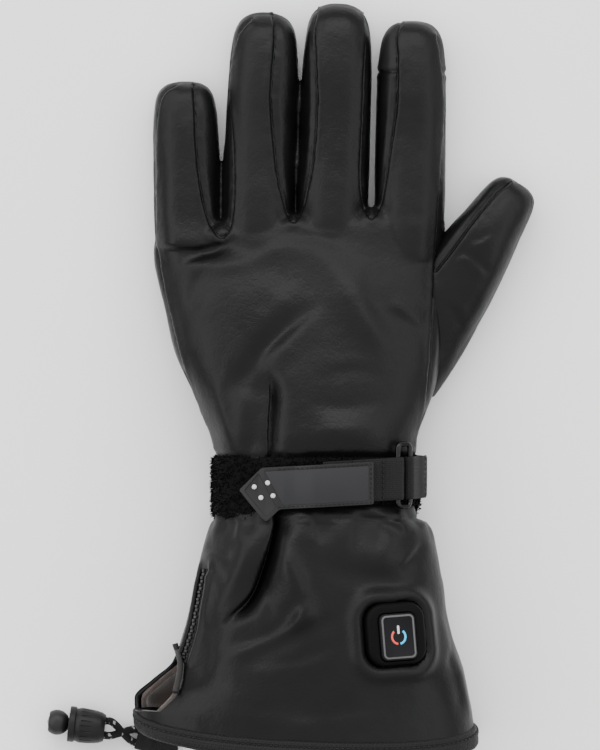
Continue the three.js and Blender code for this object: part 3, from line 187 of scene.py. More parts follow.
# Creases of the leather. Each row is: height and width in millimetres on its left, the same on its right, softness of
# the step between them, and the points it runs through on the plan drawing.
HAND_FOLD = ((270, 366), (266, 396), (264, 432), (264, 484))
CUFF_FOLD = ((274, 478), (270, 508), (265, 536), (256, 566), (245, 592), (229, 613), (218, 628))
HAND_CREASES = (
    (1.4, 8.0, -2.0, 5.5, 1.2, ((150, 246), (182, 248), (206, 247), (232, 239))),
    (0.9, 7.0, 0.9, 8.0, 2.0, ((368, 226), (358, 261), (354, 292), (360, 312), (375, 332), (404, 355))),
    (0.5, 5.0, -0.5, 4.0, 1.8, ((384, 306), (404, 316), (430, 336))),
    (-0.5, 6.0, -0.5, 6.0, 2.0, ((366, 286), (382, 320), (408, 342))),
    (0.7, 8.0, -0.7, 6.0, 2.6, ((332, 298), (303, 322), (283, 339), (262, 357), (246, 392))),
    (-0.7, 7.0, 0.3, 7.0, 2.6, ((204, 262), (190, 286), (184, 316))),
    (-0.4, 7.0, -0.4, 7.0, 2.0, ((300, 250), (285, 272), (288, 293))),
    (-0.35, 3.0, 0.3, 3.4, 1.2, ((298, 222), (318, 230), (346, 232))),
    (0.9, 7.0, 0.8, 6.0, 1.6, ((252, 386), (246, 410), (247, 452))),
    (-3.0, 6.5, 1.2, 7.0, 0.8, HAND_FOLD),
    (0.3, 6.0, 0.3, 7.0, 1.6, ((296, 386), (300, 410), (296, 452))),
    (0.6, 7.0, 0.6, 7.0, 1.6, ((416, 214), (413, 266))),
    (-0.4, 6.0, 0.3, 6.0, 2.4, ((300, 404), (345, 412), (392, 402))),
    (-0.35, 6.0, 0.35, 6.0, 2.4, ((200, 268), (246, 258), (292, 236))),
    (0.3, 6.0, -0.35, 6.0, 2.4, ((318, 374), (352, 366), (386, 372))),
    (-0.6, 6.0, 0.4, 6.0, 2.4, ((218, 372), (226, 402), (236, 446))),
)
CUFF_CREASES = (
    (-7.0, 4.0, 1.4, 5.0, 0.8, CUFF_FOLD),
    (0.6, 5.0, 0.6, 4.6, 1.4, ((250, 524), (243, 558), (231, 588))),
    (1.4, 5.0, 1.4, 5.6, 1.4, ((281, 518), (288, 556), (297, 580), (310, 596))),
    (1.5, 8.0, -1.7, 7.0, 2.2, ((309, 584), (301, 606), (289, 622), (272, 634), (248, 643), (216, 654))),
    (-0.8, 3.2, -0.8, 3.2, 1.2, ((266, 566), (268, 598), (272, 622))),
    (0.8, 6.0, 0.8, 6.0, 1.4, ((226, 600), (238, 612), (250, 628))),
    (-1.4, 5.0, -1.4, 7.0, 1.4, ((213, 606), (206, 648), (198, 694))),
    (1.3, 4.4, -1.0, 5.0, 1.4, ((346, 510), (372, 515), (396, 525), (408, 538))),
    (-1.5, 9.0, -1.5, 9.0, 1.4, ((346, 530), (390, 536))),
    (1.0, 7.0, 1.0, 7.0, 1.4, ((316, 540), (342, 560), (384, 556), (408, 542))),
    (0.9, 4.0, -0.7, 4.0, 1.2, ((420, 504), (418, 530))),
    (-1.0, 4.4, 0.6, 5.0, 1.4, ((424, 538), (410, 556), (396, 568))),
    (-0.6, 6.0, -0.6, 6.0, 2.0, ((412, 662), (394, 676), (352, 689))),
    (0.9, 5.0, -0.9, 5.0, 1.4, ((448, 640), (458, 676), (468, 722))),
    (-1.0, 4.0, 0.7, 4.0, 1.2, ((203, 548), (216, 552), (232, 560))),
    (-0.8, 3.6, 0.7, 4.0, 1.2, ((200, 570), (214, 575), (226, 586))),
    (-0.9, 3.4, 0.7, 4.0, 1.2, ((224, 510), (222, 534))),
    (0.7, 4.0, -0.7, 3.6, 1.2, ((240, 510), (234, 540))),
    (-0.8, 4.4, 0.6, 4.4, 1.4, ((310, 509), (318, 546))),
    (-0.6, 7.0, 0.5, 8.0, 2.4, ((236, 668), (300, 660), (348, 640))),
    (-0.5, 8.0, 0.4, 8.0, 2.4, ((232, 704), (310, 716), (400, 706))),
    (-0.7, 5.0, 0.5, 5.0, 1.6, ((440, 604), (450, 640), (446, 672))),
)
THUMB_CREASES = (
    (-0.5, 3.4, 0.35, 4.0, 1.2, ((450, 262), (464, 256), (480, 268), (488, 280))),
    (-0.35, 3.0, 0.3, 3.6, 1.2, ((468, 246), (482, 240), (494, 232))),
    (0.4, 5.0, -0.4, 5.0, 1.6, ((446, 300), (458, 312), (464, 330))),
)
# Where the seams of the upper leather run, seen from above on the plan drawing, the side walls always to the left.
HAND_SEAMS = (
    (
        (214, 450), (206, 426), (192, 390), (177, 345), (166, 300), (159, 262), (156, 235), (155, 150),
        (157, 112), (163, 93), (176, 84),
    ),
    (
        (193, 84), (195, 110), (196, 140), (199, 172), (205, 205), (213, 228), (221, 238), (229, 228),
        (233, 204), (233, 165), (231, 128), (229, 90), (231, 58), (238, 33), (250, 18),
    ),
    (
        (272, 13), (275, 35), (272, 75), (271, 102), (274, 140), (280, 185), (291, 221), (302, 210),
        (309, 180), (314, 140), (316, 100), (315, 55), (314, 28), (318, 7),
    ),
    (
        (364, 9), (367, 35), (364, 85), (362, 140), (360, 175), (362, 200), (371, 218), (380, 205), (385, 180),
        (390, 145), (396, 105), (397, 60), (396, 36), (402, 22),
    ),
    (
        (438, 34), (442, 55), (444, 90), (444, 130), (442, 165), (440, 190), (437, 232), (434, 280),
        (431, 330), (429, 368), (425, 405), (415, 444),
    ),
)
THUMB_SEAM = ((510, 182), (497, 192), (485, 206), (472, 222), (459, 240), (447, 256), (436, 270))
INDEX_PANEL = (
    (390, 145), (396, 105), (397, 60), (396, 36), (402, 20), (420, 12), (438, 30), (442, 55), (446, 90), (446, 145),
)


def plan_points(points):
    """Places on the plan drawing, in millimetres on the glove's lines."""
    return np.array([((u - PLAN_ORIGIN[0]) * VIEW_SCALE, (PLAN_ORIGIN[1] - v) * VIEW_SCALE) for u, v in points])


def to_frame(points):
    """Millimetres on the glove's lines to metres in the row frame."""
    made = np.array(points, dtype=float).reshape(-1, 3)
    made[:, 0] -= ORIGIN[0]
    made[:, 1] -= ORIGIN[1]
    return made * MM


def from_frame(points):
    made = np.array(points, dtype=float) / MM
    made[:, 0] += ORIGIN[0]
    made[:, 1] += ORIGIN[1]
    return made


def smooth_step(value, low, high):
    t = np.clip((np.asarray(value, dtype=float) - low) / (high - low), 0, 1)
    return t * t * (3 - 2 * t)


def read_table(rows, along):
    """The columns of a table at one value of its first column, eased from row to row."""
    last = len(rows) - 1
    i = 0
    while i < last - 1 and along > rows[i + 1][0]:
        i += 1
    a, b = rows[i], rows[i + 1]
    before, after = rows[max(i - 1, 0)], rows[min(i + 2, last)]
    span = b[0] - a[0]
    t = min(max((along - a[0]) / span, 0.0), 1.0)
    made = []
    for k in range(1, len(a)):
        rise = (b[k] - a[k]) / span
        slopes = []
        for p, q in ((before, b), (a, after)):
            slope = (q[k] - p[k]) / (q[0] - p[0]) if q[0] > p[0] else 0.0
            held = 0.0 if slope * rise <= 0 else math.copysign(min(abs(slope), 3 * abs(rise)), rise)
            slopes.append(held * span)
        made.append(
            (2 * t**3 - 3 * t**2 + 1) * a[k]
            + (t**3 - 2 * t**2 + t) * slopes[0]
            + (3 * t**2 - 2 * t**3) * b[k]
            + (t**3 - t**2) * slopes[1]
        )
    return made


def body_section(y):
    """The outline's measures across the cuff or the hand at y."""
    if y < WRIST_Y:
        flare, deep, lean, bow, slant = read_table(CUFF_SECTIONS, y / CUFF_LENGTH)
        return {
            "y": y,
            "centre": lean * PALM_WIDTH,
            "half": (WRIST_WIDTH + flare * (HEM_WIDTH - WRIST_WIDTH)) / 2,
            "top": WRIST_LIFT + WRIST_DEPTH + deep * (HEM_DEPTH - WRIST_DEPTH - WRIST_LIFT),
            "bottom": WRIST_LIFT - min(1, 3 * flare) * (WRIST_LIFT + FLATTEN),
            "bow": bow * CUFF_LENGTH,
            "slant": slant,
        }
    flare, deep, lean, slant, end = read_table(HAND_SECTIONS, (y - WRIST_Y) / PALM_LENGTH)
    half = (WRIST_WIDTH + flare * (PALM_WIDTH - WRIST_WIDTH)) / 2
    top = WRIST_LIFT + WRIST_DEPTH + deep * (KNUCKLE_DEPTH - WRIST_DEPTH - WRIST_LIFT)
    bottom = WRIST_LIFT - min(1, 2.6 * flare) * (WRIST_LIFT + FLATTEN)
    return {
        "y": y,
        "centre": lean * PALM_WIDTH,
        "half": half - end * KNUCKLE_DEPTH * 0.5,
        "top": top - end * KNUCKLE_DEPTH * 0.5,
        "bottom": bottom + end * KNUCKLE_DEPTH * 0.6,
        "bow": 0.0,
        "slant": slant,
    }


def fold_height(x, y):
    height = np.zeros_like(x)
    for across, up, heading, half, spread, rise in MAIN_FOLDS:
        c, s = math.cos(math.radians(heading)), math.sin(math.radians(heading))
        dx, dy = x - across * PALM_WIDTH, y - up * CUFF_LENGTH
        lengthwise = (dx * c + dy * s) / (half * PALM_WIDTH)
        sideways = (dy * c - dx * s) / (spread * PALM_WIDTH)
        height += rise * HEM_DEPTH * np.exp(-(lengthwise**4) - sideways**2)
    return height


def section_points(section, turns, inset=0.0):
    """Points round a section: turn 0 is the thumb side and a quarter turn the top."""
    turns = np.asarray(turns, dtype=float)
    c, s = np.cos(turns), np.sin(turns)
    power = np.where(s >= 0, 2 / CROWN, 2 / BELLY)
    waist = section["bottom"] + WAIST * (section["top"] - section["bottom"])
    reach = np.where(s >= 0, section["top"] - inset - waist, waist - section["bottom"] - inset)
    x = section["centre"] + (section["half"] - inset) * np.sign(c) * np.abs(c) ** power
    y = section["y"] + section["slant"] * (x - section["centre"]) - section["bow"] * np.maximum(0, s)
    z = waist + reach * np.sign(s) * np.abs(s) ** power
    z = z + np.where(s > 0, fold_height(x, y) * np.minimum(1, 2.5 * s * s), 0)
    return np.stack([x, y, np.maximum(z, max(inset, 0.0))], axis=1)


def even_turns(section, count, inset=0.0):
    """Turns that lie evenly round a section's outline."""
    fine = np.linspace(0, 2 * math.pi, 1441)
    points = section_points(section, fine, inset)
    steps = np.linalg.norm(np.diff(points[:, [0, 2]], axis=0), axis=1)
    run = np.concatenate([[0], np.cumsum(steps)])
    return np.interp(np.linspace(0, run[-1], count + 1)[:-1], run, fine)


def body_ring(y, inset, turns):
    return section_points(body_section(y), turns, inset)


def top_point(x, y, inset):
    """The point of the upper leather over x, at an inset below it or a height above it."""
    section = body_section(y)
    share = min(max(abs(x - section["centre"]) / (section["half"] - inset), 0.0), 0.999)
    turn = math.acos(share ** (CROWN / 2))
    return section_points(section, [math.pi - turn if x < section["centre"] else turn], inset)[0]


BODY_LINES = np.linspace(HEM_Y - 1, CROTCH_Y, 240)
BODY_MEASURES = np.array([[body_section(y)[k] for k in ("centre", "half", "top", "bottom")] for y in BODY_LINES])


def outward(points):
    """The way out of the cuff's or the hand's skin at each point, across its width and height."""
    centre, half, top, bottom = (np.interp(points[:, 1], BODY_LINES, BODY_MEASURES[:, k]) for k in range(4))
    waist = bottom + WAIST * (top - bottom)
    reach = np.where(points[:, 2] > waist, top - waist, waist - bottom)
    power = np.where(points[:, 2] > waist, CROWN, BELLY) - 1
    across = np.clip((points[:, 0] - centre) / half, -1, 1)
    up = np.clip((points[:, 2] - waist) / reach, -1, 1)
    sideways = np.sign(across) * np.abs(across) ** power / half
    upwards = np.sign(up) * np.abs(up) ** power / reach
    ways = np.stack([sideways, np.zeros(len(points)), upwards], axis=1)
    return ways / np.maximum(np.linalg.norm(ways, axis=1), 1e-9)[:, None]


def digit_frame(root_x, root_y, splay):
    s, c = math.sin(math.radians(splay)), math.cos(math.radians(splay))
    return {"root": np.array([root_x, root_y, 0.0]), "ahead": np.array([s, c, 0.0]), "side": np.array([c, -s, 0.0])}


def digit_rings(rows, size, lines, stations, count, inset=0.0):
    length, width, depth = size
    rings = []
    turns = np.linspace(0, 2 * math.pi, count, endpoint=False)
    c, s = np.cos(turns), np.sin(turns)
    power = np.where(s >= 0, 2 / CROWN, 2 / BELLY)
    for along in stations:
        wide, high, low = read_table(rows, along)
        half = max(wide * width / 2 - inset, 0.6)
        top = max(high * depth - inset, low * depth + inset + 1.2)
        bottom = low * depth - FLATTEN * 0.4 + inset
        waist = bottom + WAIST * (top - bottom)
        sideways = half * np.sign(c) * np.abs(c) ** power
        z = waist + np.where(s >= 0, top - waist, waist - bottom) * np.sign(s) * np.abs(s) ** power
        ring = lines["root"] + lines["ahead"] * min(along * length, length - inset) + sideways[:, None] * lines["side"]
        ring[:, 2] = np.maximum(z, max(inset, 0.0))
        rings.append(ring)
    return rings


PALM_LEFT = body_section(CROTCH_Y - 0.03 * PALM_LENGTH)["centre"] - PALM_WIDTH / 2
DIGITS = []
for name, length, width, depth, across, up, splay, roll in FINGERS:
    lines = digit_frame(PALM_LEFT + across * PALM_WIDTH, CROTCH_Y + up * PALM_LENGTH, splay)
    DIGITS.append({"name": name, "size": (length, width, depth * FINGER_DEPTH), "lines": lines, "roll": roll})
THUMB_ROOT = (PALM_LEFT + 0.874 * PALM_WIDTH, WRIST_Y + 0.51 * PALM_LENGTH)
THUMB_SPLAY = 33
THUMB = {"size": (89.5, 39.0, 29.0), "lines": digit_frame(*THUMB_ROOT, THUMB_SPLAY)}


# Meshes.


def ring_faces(rings, count, closed=False):
    """Quads between rings of count points each, with outward faces for rings that run anticlockwise seen from ahead."""
    spans = rings if closed else rings - 1
    r, i = np.meshgrid(np.arange(spans), np.arange(count), indexing="ij")
    j = (i + 1) % count
    here, ahead = r * count, ((r + 1) % rings) * count
    return np.stack([here + i, here + j, ahead + j, ahead + i], axis=-1).reshape(-1, 4).tolist()


def capped_rings(rings):
    """Points and faces of a closed skin through rings, with a pole at each end."""
    count = len(rings[0])
    points = np.concatenate(list(rings) + [rings[0].mean(axis=0)[None], rings[-1].mean(axis=0)[None]])
    faces = ring_faces(len(rings), count)
    last, first_pole = (len(rings) - 1) * count, len(points) - 2
    for i in range(count):
        j = (i + 1) % count
        faces.append((first_pole, j, i))
        faces.append((first_pole + 1, last + i, last + j))
    return points, faces


def make_mesh(name, points, faces, recalculate=True):
    """A new object at the origin from points on the glove's lines."""
    mesh = bpy.data.meshes.new(name)
    mesh.from_pydata(to_frame(points).tolist(), [], faces)
    mesh.update()
    obj = bpy.data.objects.new(name, mesh)
    bpy.context.collection.objects.link(obj)
    if recalculate:
        turn_outward(obj)
    mesh.polygons.foreach_set("use_smooth", [True] * len(mesh.polygons))
    return obj


def turn_outward(obj):
    edit = bmesh.new()
    edit.from_mesh(obj.data)
    bmesh.ops.remove_doubles(edit, verts=edit.verts, dist=1e-7)
    bmesh.ops.recalc_face_normals(edit, faces=edit.faces)
    edit.to_mesh(obj.data)
    edit.free()


def loft_object(name, rings):
    points, faces = capped_rings(rings)
    return make_mesh(name, points, faces)


def select_only(*objs):
    bpy.ops.object.select_all(action="DESELECT")
    for obj in objs:
        obj.select_set(True)
    bpy.context.view_layer.objects.active = objs[0]


def apply_modifier(obj, kind, **settings):
    select_only(obj)
    modifier = obj.modifiers.new(kind.lower(), kind)
    for key, value in settings.items():
        setattr(modifier, key, value)
    bpy.ops.object.modifier_apply(modifier=modifier.name)


def join(name, objs):
    select_only(*objs)
    bpy.ops.object.join()
    objs[0].name = name
    objs[0].data.name = name
    return objs[0]


def settle(obj, angle=None):
    """Leaves a modelled object at the origin with its place in its mesh, its faces out and smooth."""
    select_only(obj)
    bpy.ops.object.transform_apply(location=True, rotation=True, scale=True)
    turn_outward(obj)
    select_only(obj)
    if angle is None:
        bpy.ops.object.shade_smooth()
    else:
        bpy.ops.object.shade_smooth_by_angle(angle=math.radians(angle))
    return obj


def subtract(obj, cutter):
    select_only(obj)
    modifier = obj.modifiers.new("cut", "BOOLEAN")
    modifier.operation = "DIFFERENCE"
    modifier.solver = "EXACT"
    modifier.object = cutter
    bpy.ops.object.modifier_apply(modifier=modifier.name)
    bpy.data.objects.remove(cutter)


def mesh_points(obj):
    flat = np.empty(len(obj.data.vertices) * 3)
    obj.data.vertices.foreach_get("co", flat)
    return from_frame(flat.reshape(-1, 3))


def mesh_normals(obj):
    flat = np.empty(len(obj.data.vertices) * 3, dtype=np.float32)
    obj.data.vertex_normals.foreach_get("vector", flat)
    return flat.reshape(-1, 3).astype(float)


def set_points(obj, points):
    obj.data.vertices.foreach_set("co", to_frame(points).ravel())
    obj.data.update()


def value_noise(points, size, seed):
    """Smooth noise between -1 and 1 with lumps of about size millimetres."""
    grid = points / size + seed * 17.3
    cell = np.floor(grid).astype(np.int64)
    part = grid - cell
    part = part * part * (3 - 2 * part)
    total = np.zeros(len(points))
    for corner in range(8):
        step = np.array([corner & 1, (corner >> 1) & 1, (corner >> 2) & 1])
        at = cell + step
        mix = at[:, 0] * 73856093 ^ at[:, 1] * 19349663 ^ at[:, 2] * 83492791 ^ (seed * 2654435)
        mix = (mix ^ (mix >> 13)) * 1274126177 & 0x7FFFFFFF
        value = (mix % 20011) / 20011.0 * 2 - 1
        total += value * np.prod(np.where(step, part, 1 - part), axis=1)
    return total


def nearest_on(line, at):
    """Distance to a line of points seen from above, the side of it (1 is left) and the share along it."""
    steps = np.diff(line, axis=0)
    lengths = np.linalg.norm(steps, axis=1)
    starts = np.concatenate([[0], np.cumsum(lengths)])
    best, side, share = np.full(len(at), 1e9), np.zeros(len(at)), np.zeros(len(at))
    for k, step in enumerate(steps):
        along = np.clip(((at - line[k]) @ step) / lengths[k] ** 2, 0, 1)
        away = at - line[k] - along[:, None] * step
        distance = np.linalg.norm(away, axis=1)
        closer = distance < best
        cross = step[0] * away[:, 1] - step[1] * away[:, 0]
        best = np.where(closer, distance, best)
        side = np.where(closer, np.sign(cross), side)
        share = np.where(closer, (starts[k] + along * lengths[k]) / starts[-1], share)
    return best, side, share


def close_to(line, points, reach):
    """The points inside a line's own rectangle, widened by a reach."""
    plan = points[:, :2]
    return np.nonzero(np.all((plan > line.min(axis=0) - reach) & (plan < line.max(axis=0) + reach), axis=1))[0]


def layered_noise(points, *layers):
    """Noise of several grain sizes together: each layer is a grain, a seed and a height in millimetres."""
    total = 0
    for grain, seed, height in layers:
        total = total + value_noise(points, grain, seed) * height
    return total


def crease_height(points, rows):
    """Height that the rows of a crease table add at each point."""
    height = np.zeros(len(points))
    for left, left_width, right, right_width, softness, path in rows:
        line = smooth_path(plan_points(path), 6 * len(path))
        where = close_to(line, points, 3.0 * max(left_width, right_width))
        if not len(where):
            continue
        best, side, share = nearest_on(line, points[where, :2])
        mix = 1 / (1 + np.exp(-np.clip(best * side / (0.5 * softness), -30, 30)))
        left_side = mix * left * np.exp(-((best / left_width) ** 2))
        value = left_side + (1 - mix) * right * np.exp(-((best / right_width) ** 2))
        fade = smooth_step(share, 0.0, 0.3) * smooth_step(1 - share, 0.0, 0.3)
        height[where] += value * fade
    return height


def fold_over(obj, path, reach):
    """Leans the ridge beside a deep fold over it, so that the fold's floor is hidden."""
    points = mesh_points(obj)
    line = smooth_path(plan_points(path), 8 * len(path))
    where = close_to(line, points, 9.0)
    where = where[points[where, 2] > 12]
    best, side, share = nearest_on(line, points[where, :2])
    lean = reach * np.exp(-(((best * side + 1.3) / 1.9) ** 2))
    points[where, 0] += lean * smooth_step(share, 0.0, 0.3) * smooth_step(1 - share, 0.0, 0.3)
    set_points(obj, points)


def seam_distance_above(points, normals, paths):
    """Signed distance over the skin to the nearest of the seams seen from above, left of them positive."""
    signed = np.full(len(points), NOT_A_SEAM)
    upper = normals[:, 2] > UPPER_SIDE
    for path in paths:
        line = smooth_path(plan_points(path), 8 * len(path))
        where = close_to(line, points, 9.0)
        where = where[upper[where]]
        best, side, _ = nearest_on(line, points[where, :2])
        best = best / np.clip(normals[where, 2], 0.4, 1)
        closer = best < np.abs(signed[where])
        signed[where] = np.where(closer, best * np.where(side == 0, 1, side), signed[where])
    return signed


def seam_relief(signed, depth, width):
    """A seam where the side wall, on its left, sits lower than the puffed edge of the panel."""
    away = np.abs(signed)
    wall = np.where(signed > 0, -0.5, 0.4) * depth * np.exp(-(((away - 2.4 * width) / (2.6 * width)) ** 2))
    return wall - depth * np.exp(-((away / width) ** 2))


def inside_outline(points, path):
    """Whether each point lies inside a closed outline seen from above."""
    line = plan_points(path)
    x, y = points[:, 0], points[:, 1]
    inside = np.zeros(len(points), dtype=bool)
    for (x0, y0), (x1, y1) in zip(line, np.roll(line, -1, axis=0)):
        crosses = (y0 > y) != (y1 > y)
        inside ^= crosses & (x < (x1 - x0) * (y - y0) / ((y1 - y0) or 1e-9) + x0)
    return inside


def seam_groove(distance, depth, width):
    """A sewn-in seam: a narrow valley with the leather swelling on both sides."""
    valley = -depth * np.exp(-((distance / width) ** 2))
    swell = 0.4 * depth * np.exp(-(((np.abs(distance) - 2.6 * width) / (1.7 * width)) ** 2))
    return valley + swell


def hand_seam_height(points, palm_rows, finger_rows, rolled):
    """Height above the ground of the seam over each point of the hand."""
    along = (points[:, 1] - WRIST_Y) / PALM_LENGTH
    palm = np.interp(along, *palm_rows) * KNUCKLE_DEPTH
    height = np.where(along <= 1.13, palm, -1e3)
    for digit in DIGITS:
        length, width, depth = digit["size"]
        from_root = points - digit["lines"]["root"]
        ahead = from_root @ digit["lines"]["ahead"] / length
        across = from_root @ digit["lines"]["side"]
        inside = (np.abs(across) < width / 2 + 1.2) & (ahead > -0.12)
        value = np.interp(ahead, *finger_rows) * depth + rolled * digit["roll"] * across * smooth_step(ahead, 0.1, 0.6)
        ramp = smooth_step(ahead, -0.12, 0.06)
        joined = np.where(along <= 1.13, palm + (np.maximum(value, palm) - palm) * ramp, value)
        height = np.where(inside, joined, height)
    return height


def skin_over(name, objs, voxel, smoothing):
    """One even skin over overlapping forms."""
    obj = join(name, objs)
    apply_modifier(obj, "REMESH", mode="VOXEL", voxel_size=voxel * MM, use_smooth_shade=True)
    apply_modifier(obj, "SMOOTH", factor=0.5, iterations=smoothing)
    return obj


def subdivide_where(obj, chosen):
    """Halves the faces all of whose corners are chosen."""
    edit = bmesh.new()
    edit.from_mesh(obj.data)
    edit.verts.ensure_lookup_table()
    edges = [e for e in edit.edges if chosen[e.verts[0].index] and chosen[e.verts[1].index]]
    bmesh.ops.subdivide_edges(edit, edges=edges, cuts=1, use_grid_fill=True, smooth=0.0)
    bmesh.ops.triangulate(edit, faces=[f for f in edit.faces if len(f.verts) > 4])
    edit.to_mesh(obj.data)
    edit.free()


def finish_piece(obj, body, slot, material, *nodes):
    """Gives a finished object its material and its body, and hides the CAD nodes that it stands for."""
    obj.data.materials.clear()
    obj.data.materials.append(material)
    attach(obj, body)
    if nodes:
        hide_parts(*nodes)
    return obj


def uv_from(obj, values):
    """A UV map from one pair of values for each vertex."""
    layer = obj.data.uv_layers.new(name="pattern")
    index = np.empty(len(obj.data.loops), dtype=np.int64)
    obj.data.loops.foreach_get("vertex_index", index)
    layer.data.foreach_set("uv", np.asarray(values, dtype=float)[index].ravel())


def run_along(points):
    """How far along a path each of its points lies."""
    return np.concatenate([[0], np.cumsum(np.linalg.norm(np.diff(points, axis=0), axis=1))])


def swept(name, centres, sides, ups, outline, closed=False):
    """Carries an outline of (across, height) points along a path, in millimetres."""
    rings = [c + np.outer(outline[:, 0], s) + np.outer(outline[:, 1], u) for c, s, u in zip(centres, sides, ups)]
    if closed:
        return make_mesh(name, np.concatenate(rings), ring_faces(len(rings), len(outline), True))
    return make_mesh(name, *capped_rings(rings))


def path_frames(points, up=(0, 0, 1)):
    """Sides and ups along a path, kept as near to the given up as can be."""
    points = np.asarray(points, dtype=float)
    ways = np.gradient(points, axis=0)
    ways /= np.linalg.norm(ways, axis=1)[:, None]
    sides = np.cross(ways, np.asarray(up, dtype=float))
    sides /= np.linalg.norm(sides, axis=1)[:, None]
    return ways, sides, np.cross(sides, ways)


def smooth_path(points, count, closed=False):
    """A Catmull-Rom curve through a few points, at even steps."""
    points = np.asarray(points, dtype=float)
    if closed:
        extended = np.concatenate([points[-1:], points, points[:2]])
    else:
        extended = np.concatenate([2 * points[:1] - points[1:2], points, 2 * points[-1:] - points[-2:-1]])
    fine = []
    for k in range(1, len(extended) - 2):
        a, b, c, d = extended[k - 1 : k + 3]
        for t in np.linspace(0, 1, 24, endpoint=False):
            square, cube = 2 * a - 5 * b + 4 * c - d, 3 * b - a - 3 * c + d
            fine.append(0.5 * (2 * b + (c - a) * t + square * t**2 + cube * t**3))
    fine.append(extended[-2])
    fine = np.array(fine)
    run = run_along(fine)
    marks = np.linspace(0, run[-1], count + 1 if closed else count)
    marks = marks[:-1] if closed else marks
    return np.stack([np.interp(marks, run, fine[:, k]) for k in range(fine.shape[1])], axis=1)


def oval(width, height, count):
    turns = np.linspace(0, 2 * math.pi, count, endpoint=False)
    return np.stack([width / 2 * np.cos(turns), height / 2 * np.sin(turns)], axis=1)


def strap_outline(width, thickness, low=0.0):
    """A flat strap's outline with rounded edges, its underside at low."""
    w, t = width / 2, thickness
    edge = t * 0.3
    right = [(w - edge, 0), (w, edge), (w, t - edge), (w - edge, t)]
    points = [(-w + edge, 0)] + right + [(-w + edge, t), (-w, t - edge), (-w, edge)]
    return np.array([(x, z + low) for x, z in points])


def stitches(name, spots, length, thickness):
    """Short threads: spots are (middle, way, out) in millimetres, each thread a small bead that dips at both ends."""
    points, faces = [], []
    outline = oval(thickness, thickness, 5)
    for middle, way, out in spots:
        way = way / np.linalg.norm(way)
        side = np.cross(way, out)
        side /= np.linalg.norm(side)
        up = np.cross(side, way)
        start = len(points)
        for share, lift, scale in ((-0.5, -0.35, 0.5), (-0.3, 0.12, 1.0), (0.3, 0.12, 1.0), (0.5, -0.35, 0.5)):
            centre = middle + way * share * length + up * lift * thickness
            points.extend(centre + side * a * scale + up * b * scale for a, b in outline)
        for r in range(3):
            for i in range(5):
                j = (i + 1) % 5
                faces.append((start + r * 5 + i, start + r * 5 + j, start + r * 5 + 5 + j, start + r * 5 + 5 + i))
        faces.append(tuple(start + i for i in range(4, -1, -1)))
        faces.append(tuple(start + 15 + i for i in range(5)))
    return make_mesh(name, np.array(points), faces)


# Materials.


def add(tree, kind, inputs=None, **settings):
    made = tree.nodes.new(kind)
    for key, value in settings.items():
        setattr(made, key, value)
    for key, value in (inputs or {}).items():
        made.inputs[key].default_value = value
    return made


def wire(tree, start, out, end, into):
    tree.links.new(start.outputs[out], end.inputs[into])


def shader_group(name, inputs, outputs):
    group = bpy.data.node_groups.new(name, "ShaderNodeTree")
    for label, kind, value in inputs:
        made = group.interface.new_socket(name=label, in_out="INPUT", socket_type=kind)
        if value is not None:
            made.default_value = value
    for label, kind in outputs:
        group.interface.new_socket(name=label, in_out="OUTPUT", socket_type=kind)
    return group, group.nodes.new("NodeGroupInput"), group.nodes.new("NodeGroupOutput")


def maths(tree, operation, a, b=None, c=None):
    """A Math node; each operand is a number or a (node, output) pair."""
    made = add(tree, "ShaderNodeMath", operation=operation)
    for i, value in enumerate((a, b, c)):
        if value is None:
            continue
        if isinstance(value, tuple):
            wire(tree, value[0], value[1], made, i)
        else:
            made.inputs[i].default_value = value
    return made, 0


def leather_grain_group():
    """Pores and fine crinkles of a hide, and a slow unevenness."""
    group, start, end = shader_group(
        "hide grain",
        (("Vector", "NodeSocketVector", None), ("Pore Scale", "NodeSocketFloat", 900.0)),
        (("Height", "NodeSocketFloat"), ("Unevenness", "NodeSocketFloat")),
    )
    warp = add(group, "ShaderNodeTexNoise", {"Scale": 160.0, "Detail": 2.0})
    wire(group, start, "Vector", warp, "Vector")
    bent = add(group, "ShaderNodeMixRGB", {"Fac": 0.004}, blend_type="ADD")
    wire(group, start, "Vector", bent, "Color1")
    wire(group, warp, "Color", bent, "Color2")
    pores = add(group, "ShaderNodeTexVoronoi", {"Smoothness": 0.6}, feature="SMOOTH_F1")
    wire(group, bent, "Color", pores, "Vector")
    wire(group, start, "Pore Scale", pores, "Scale")
    crinkle = add(group, "ShaderNodeTexVoronoi", {"Scale": 330.0}, feature="DISTANCE_TO_EDGE")
    wire(group, bent, "Color", crinkle, "Vector")
    crinkled = maths(group, "MINIMUM", (crinkle, "Distance"), 0.12)
    fine = add(group, "ShaderNodeTexNoise", {"Scale": 620.0, "Detail": 3.0})
    wire(group, start, "Vector", fine, "Vector")
    total = maths(group, "MULTIPLY_ADD", (pores, "Distance"), -0.45, (fine, "Fac"))
    total = maths(group, "MULTIPLY_ADD", crinkled, 3.2, total)
    wire(group, total[0], total[1], end, "Height")
    slow = add(group, "ShaderNodeTexNoise", {"Scale": 24.0, "Detail": 3.0, "Roughness": 0.55})
    wire(group, start, "Vector", slow, "Vector")
    wire(group, slow, "Fac", end, "Unevenness")
    return group


